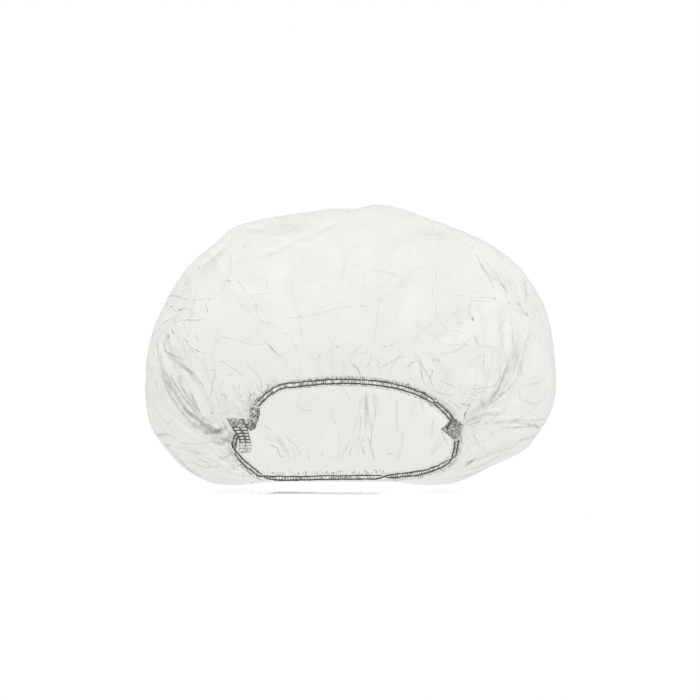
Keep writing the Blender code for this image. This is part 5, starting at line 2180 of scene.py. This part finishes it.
@dataclass
class Studio:
    """A white floor, soft light and the camera that takes the photograph's view."""

    frame_width: float = 0.5122
    distance: float = 6.0
    elevation: float = 1.5
    sensor_width: float = 36.0
    aim: tuple = (0.0004, -0.079, 0.0995)
    floor_size: float = 40.0
    backdrop: tuple = (1, 1, 1, 1)
    # The film's painted shade on the backdrop behind it: paler high up, darker low down and darker to the left.
    high_painted_shade: tuple = (0.928, 0.916, 0.897, 1)
    low_painted_shade: tuple = (0.822, 0.811, 0.790, 1)
    left_painted_shade: float = 0.035
    painted_shade_heights: tuple = (0.070, 0.158)
    painted_shade_sides: tuple = (-0.006, -0.021)
    floor_drop: float = 0.0004
    room_sides: tuple = (0.25, 0.65, 0.66, 0.85)
    room_ceiling: tuple = (0.05, 0.85, 0.0, 0.55)
    room_back: tuple = (-0.2, 0.5, 0.0, 0.34)
    lit_point: tuple = (0, 0, 0.1)
    shine: float = 0.62
    shine_front: float = -0.222
    shine_top: float = -0.098
    band_shine_back: float = -0.165
    band_shine: tuple = (-0.064, 0.026)
    lobe_shines: tuple = ((-0.081, 0.024), (0.064, 0.017))
    side_blur: float = 0.002
    back_blur: float = 0.008
    lobe_run: float = 0.030
    shine_run: float = 0.045
    glance_range: tuple = (0.90, 0.94)
    bounces: int = 48

    def backdrop_tone(self, graph: Graph, place: bpy.types.NodeSocket) -> bpy.types.NodeSocket:
        """The backdrop's colour: white on its own, and a painted pale warm grey shade where it is seen through the
        film.

        Args:
            graph: The material's or world's graph.
            place: The point that is seen. The painted grey shade deepens down the picture and a little to the left.

        Returns:
            The colour's socket.
        """
        parts = graph.add("ShaderNodeSeparateXYZ", Vector=place)
        near = graph.maths("DIVIDE", 1.0, graph.maths("ADD", parts.outputs["Y"], self.distance - self.aim[1]))
        low = graph.ramp(near, *self.painted_shade_heights)
        beside = graph.maths("MULTIPLY", parts.outputs["X"], near)
        left = graph.ramp(beside, *self.painted_shade_sides, 0.0, self.left_painted_shade)
        # The painted shade seen through the film, deeper low down and to the left.
        seen = graph.blend(low, self.high_painted_shade, self.low_painted_shade)
        seen = graph.blend(left, seen, (0, 0, 0, 1))
        # Only what is seen through at least one layer of film takes the painted shade.
        depth = graph.add("ShaderNodeLightPath").outputs["Transparent Depth"]
        return graph.blend(graph.maths("MINIMUM", depth, 1.0), self.backdrop, seen)

    def sheen(self, graph: Graph, place: bpy.types.NodeSocket) -> bpy.types.NodeSocket:
        """How strongly the floor mirrors at a point: only at a glance, below the band and the base's two lobes.

        Args:
            graph: The floor's graph.
            place: The point.

        Returns:
            The strength's socket.
        """
        parts = graph.add("ShaderNodeSeparateXYZ", Vector=place)
        ahead, side = parts.outputs["Y"], parts.outputs["X"]
        blur, (start, end), back = self.side_blur, self.band_shine, self.band_shine_back
        left = graph.ramp(side, start - blur, start + blur)
        right = graph.ramp(side, end - blur, end + blur, 1.0, 0.0)
        below = graph.ramp(ahead, back - self.back_blur, back + self.back_blur, 1.0, 0.0)
        shown = graph.maths("MULTIPLY", graph.maths("MULTIPLY", left, right), below)
        for middle, reach in self.lobe_shines:
            off = graph.maths("DIVIDE", graph.maths("SUBTRACT", side, middle), reach)
            drop = graph.maths("MULTIPLY", graph.maths("MULTIPLY", off, off), self.shine_top - self.shine_front)
            under = graph.maths("ADD", ahead, drop)
            lobe = graph.ramp(under, self.shine_top - self.lobe_run, self.shine_top, 1.0, 0.0)
            shown = graph.maths("MAXIMUM", shown, lobe)
        fade = graph.ramp(ahead, self.shine_front, self.shine_front + self.shine_run, 0.0, self.shine)
        facing = graph.add("ShaderNodeLayerWeight", Blend=0.5).outputs["Facing"]
        glance = graph.ramp(facing, *self.glance_range)
        return graph.maths("MULTIPLY", graph.maths("MULTIPLY", shown, fade), glance)

    def floor(self) -> None:
        """Lays the floor."""
        shape = bmesh.new()
        bmesh.ops.create_grid(shape, x_segments=1, y_segments=1, size=self.floor_size)
        bmesh.ops.translate(shape, verts=shape.verts, vec=(0, 0, -self.floor_drop))
        mesh = close_shape(shape, "floor")
        surface, graph = new_material("white floor")
        place = graph.add("ShaderNodeTexCoord").outputs["Object"]
        # The floor glows evenly white, and carries the film's painted shade where it is seen through the film.
        glow = graph.add("ShaderNodeEmission", Color=self.backdrop_tone(graph, place), Strength=1.0)
        mirror = graph.add("ShaderNodeBsdfGlossy", Color=(1, 1, 1, 1), Roughness=0.0)
        graph.close(graph.mix(self.sheen(graph, place), glow.outputs[0], mirror.outputs[0]))
        mesh.materials.append(surface)
        floor = link("floor", mesh)

    def sky(self) -> None:
        """Fills the world: white behind the cap with the film's painted shade where it is seen through the film,
        and a grey room with a bright ceiling before it.
        """
        world = bpy.data.worlds.new("studio")
        bpy.context.scene.world = world
        world.use_nodes = True
        graph = Graph(world.node_tree)
        direction = graph.add("ShaderNodeTexCoord").outputs["Generated"]
        parts = graph.add("ShaderNodeSeparateXYZ", Vector=direction)
        beside = graph.ramp(graph.maths("ABSOLUTE", parts.outputs["X"]), *self.room_sides)
        overhead = graph.ramp(parts.outputs["Z"], *self.room_ceiling)
        behind = graph.ramp(parts.outputs["Y"], *self.room_back)
        grey = graph.maths("ADD", graph.maths("ADD", beside, overhead), behind)
        room = graph.add("ShaderNodeBackground", Color=(1, 1, 1, 1), Strength=grey)
        # Seen straight on, the world is the white backdrop with the film's painted shade.
        plain = graph.add("ShaderNodeBackground", Color=self.backdrop_tone(graph, direction), Strength=1.0)
        seen = graph.add("ShaderNodeLightPath").outputs["Is Camera Ray"]
        graph.close(graph.mix(seen, room.outputs[0], plain.outputs[0]), "ShaderNodeOutputWorld")

    def lamp(self, row: LampRow) -> None:
        """Hangs a soft box that faces the cap."""
        data = bpy.data.lights.new(row.name, "AREA")
        data.shape = "RECTANGLE"
        data.size = row.width
        data.size_y = row.height
        data.energy = row.power
        lamp = link(row.name, data)
        lamp.location = row.place
        lamp.rotation_mode = "QUATERNION"
        lamp.rotation_quaternion = (Vector(self.lit_point) - Vector(row.place)).to_track_quat("-Z", "Y")

    def camera(self) -> None:
        """Sets up the camera."""
        data = bpy.data.cameras.new("camera")
        data.sensor_width = self.sensor_width
        data.lens = self.sensor_width * self.distance / self.frame_width
        rise = math.radians(self.elevation)
        way = Vector((0, -math.cos(rise), math.sin(rise)))
        camera = link("camera", data)
        camera.location = Vector(self.aim) + way * self.distance
        camera.rotation_mode = "QUATERNION"
        camera.rotation_quaternion = (-way).to_track_quat("-Z", "Y")
        bpy.context.scene.camera = camera

    def build(self) -> None:
        """Sets the scene up round the cap."""
        self.floor()
        self.sky()
        for row in LAMPS:
            self.lamp(row)
        self.camera()
        scene = bpy.context.scene
        scene.view_settings.view_transform = "Standard"
        scene.cycles.transparent_max_bounces = self.bounces


def find_shift(mouth: MouthLine, form: CrownForm) -> Array:
    """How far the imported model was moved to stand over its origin."""
    low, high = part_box("elastic_band")
    angles = np.arange(0, 360, 0.5)
    edge = mouth.place(angles) + mouth.outward(angles) * mouth.band_width / 2
    middle = (edge[:, 0].min() + edge[:, 0].max()) / 2
    return np.array([(low.x + high.x) / 2 - middle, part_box("crown_film")[1].y - form.rear_depth, 0])


def main() -> None:
    """Builds the cap's pieces in order and reports each one."""
    logging.basicConfig(level=logging.INFO, format="%(name)s %(message)s")
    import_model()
    mouth = MouthLine()
    form = CrownForm(mouth)
    mouth.shift = find_shift(mouth, form)
    sheet = CrownSheet(form, FilmFinish()).build()
    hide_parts("crown_film")
    creases = FilmCreases(sheet, CreaseFinish()).build(mouth)
    band = ElasticBand(mouth, CordFinish(), WebFinish()).build()
    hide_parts("elastic_band")
    join = LappedJoin(mouth, JoinFinish()).build()
    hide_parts("elastic_join")
    BunchedFilm(mouth, JoinFinish()).build()
    CornerTuck(mouth, JoinFinish()).build()
    Studio().build()


if __name__ == "__main__":
    main()
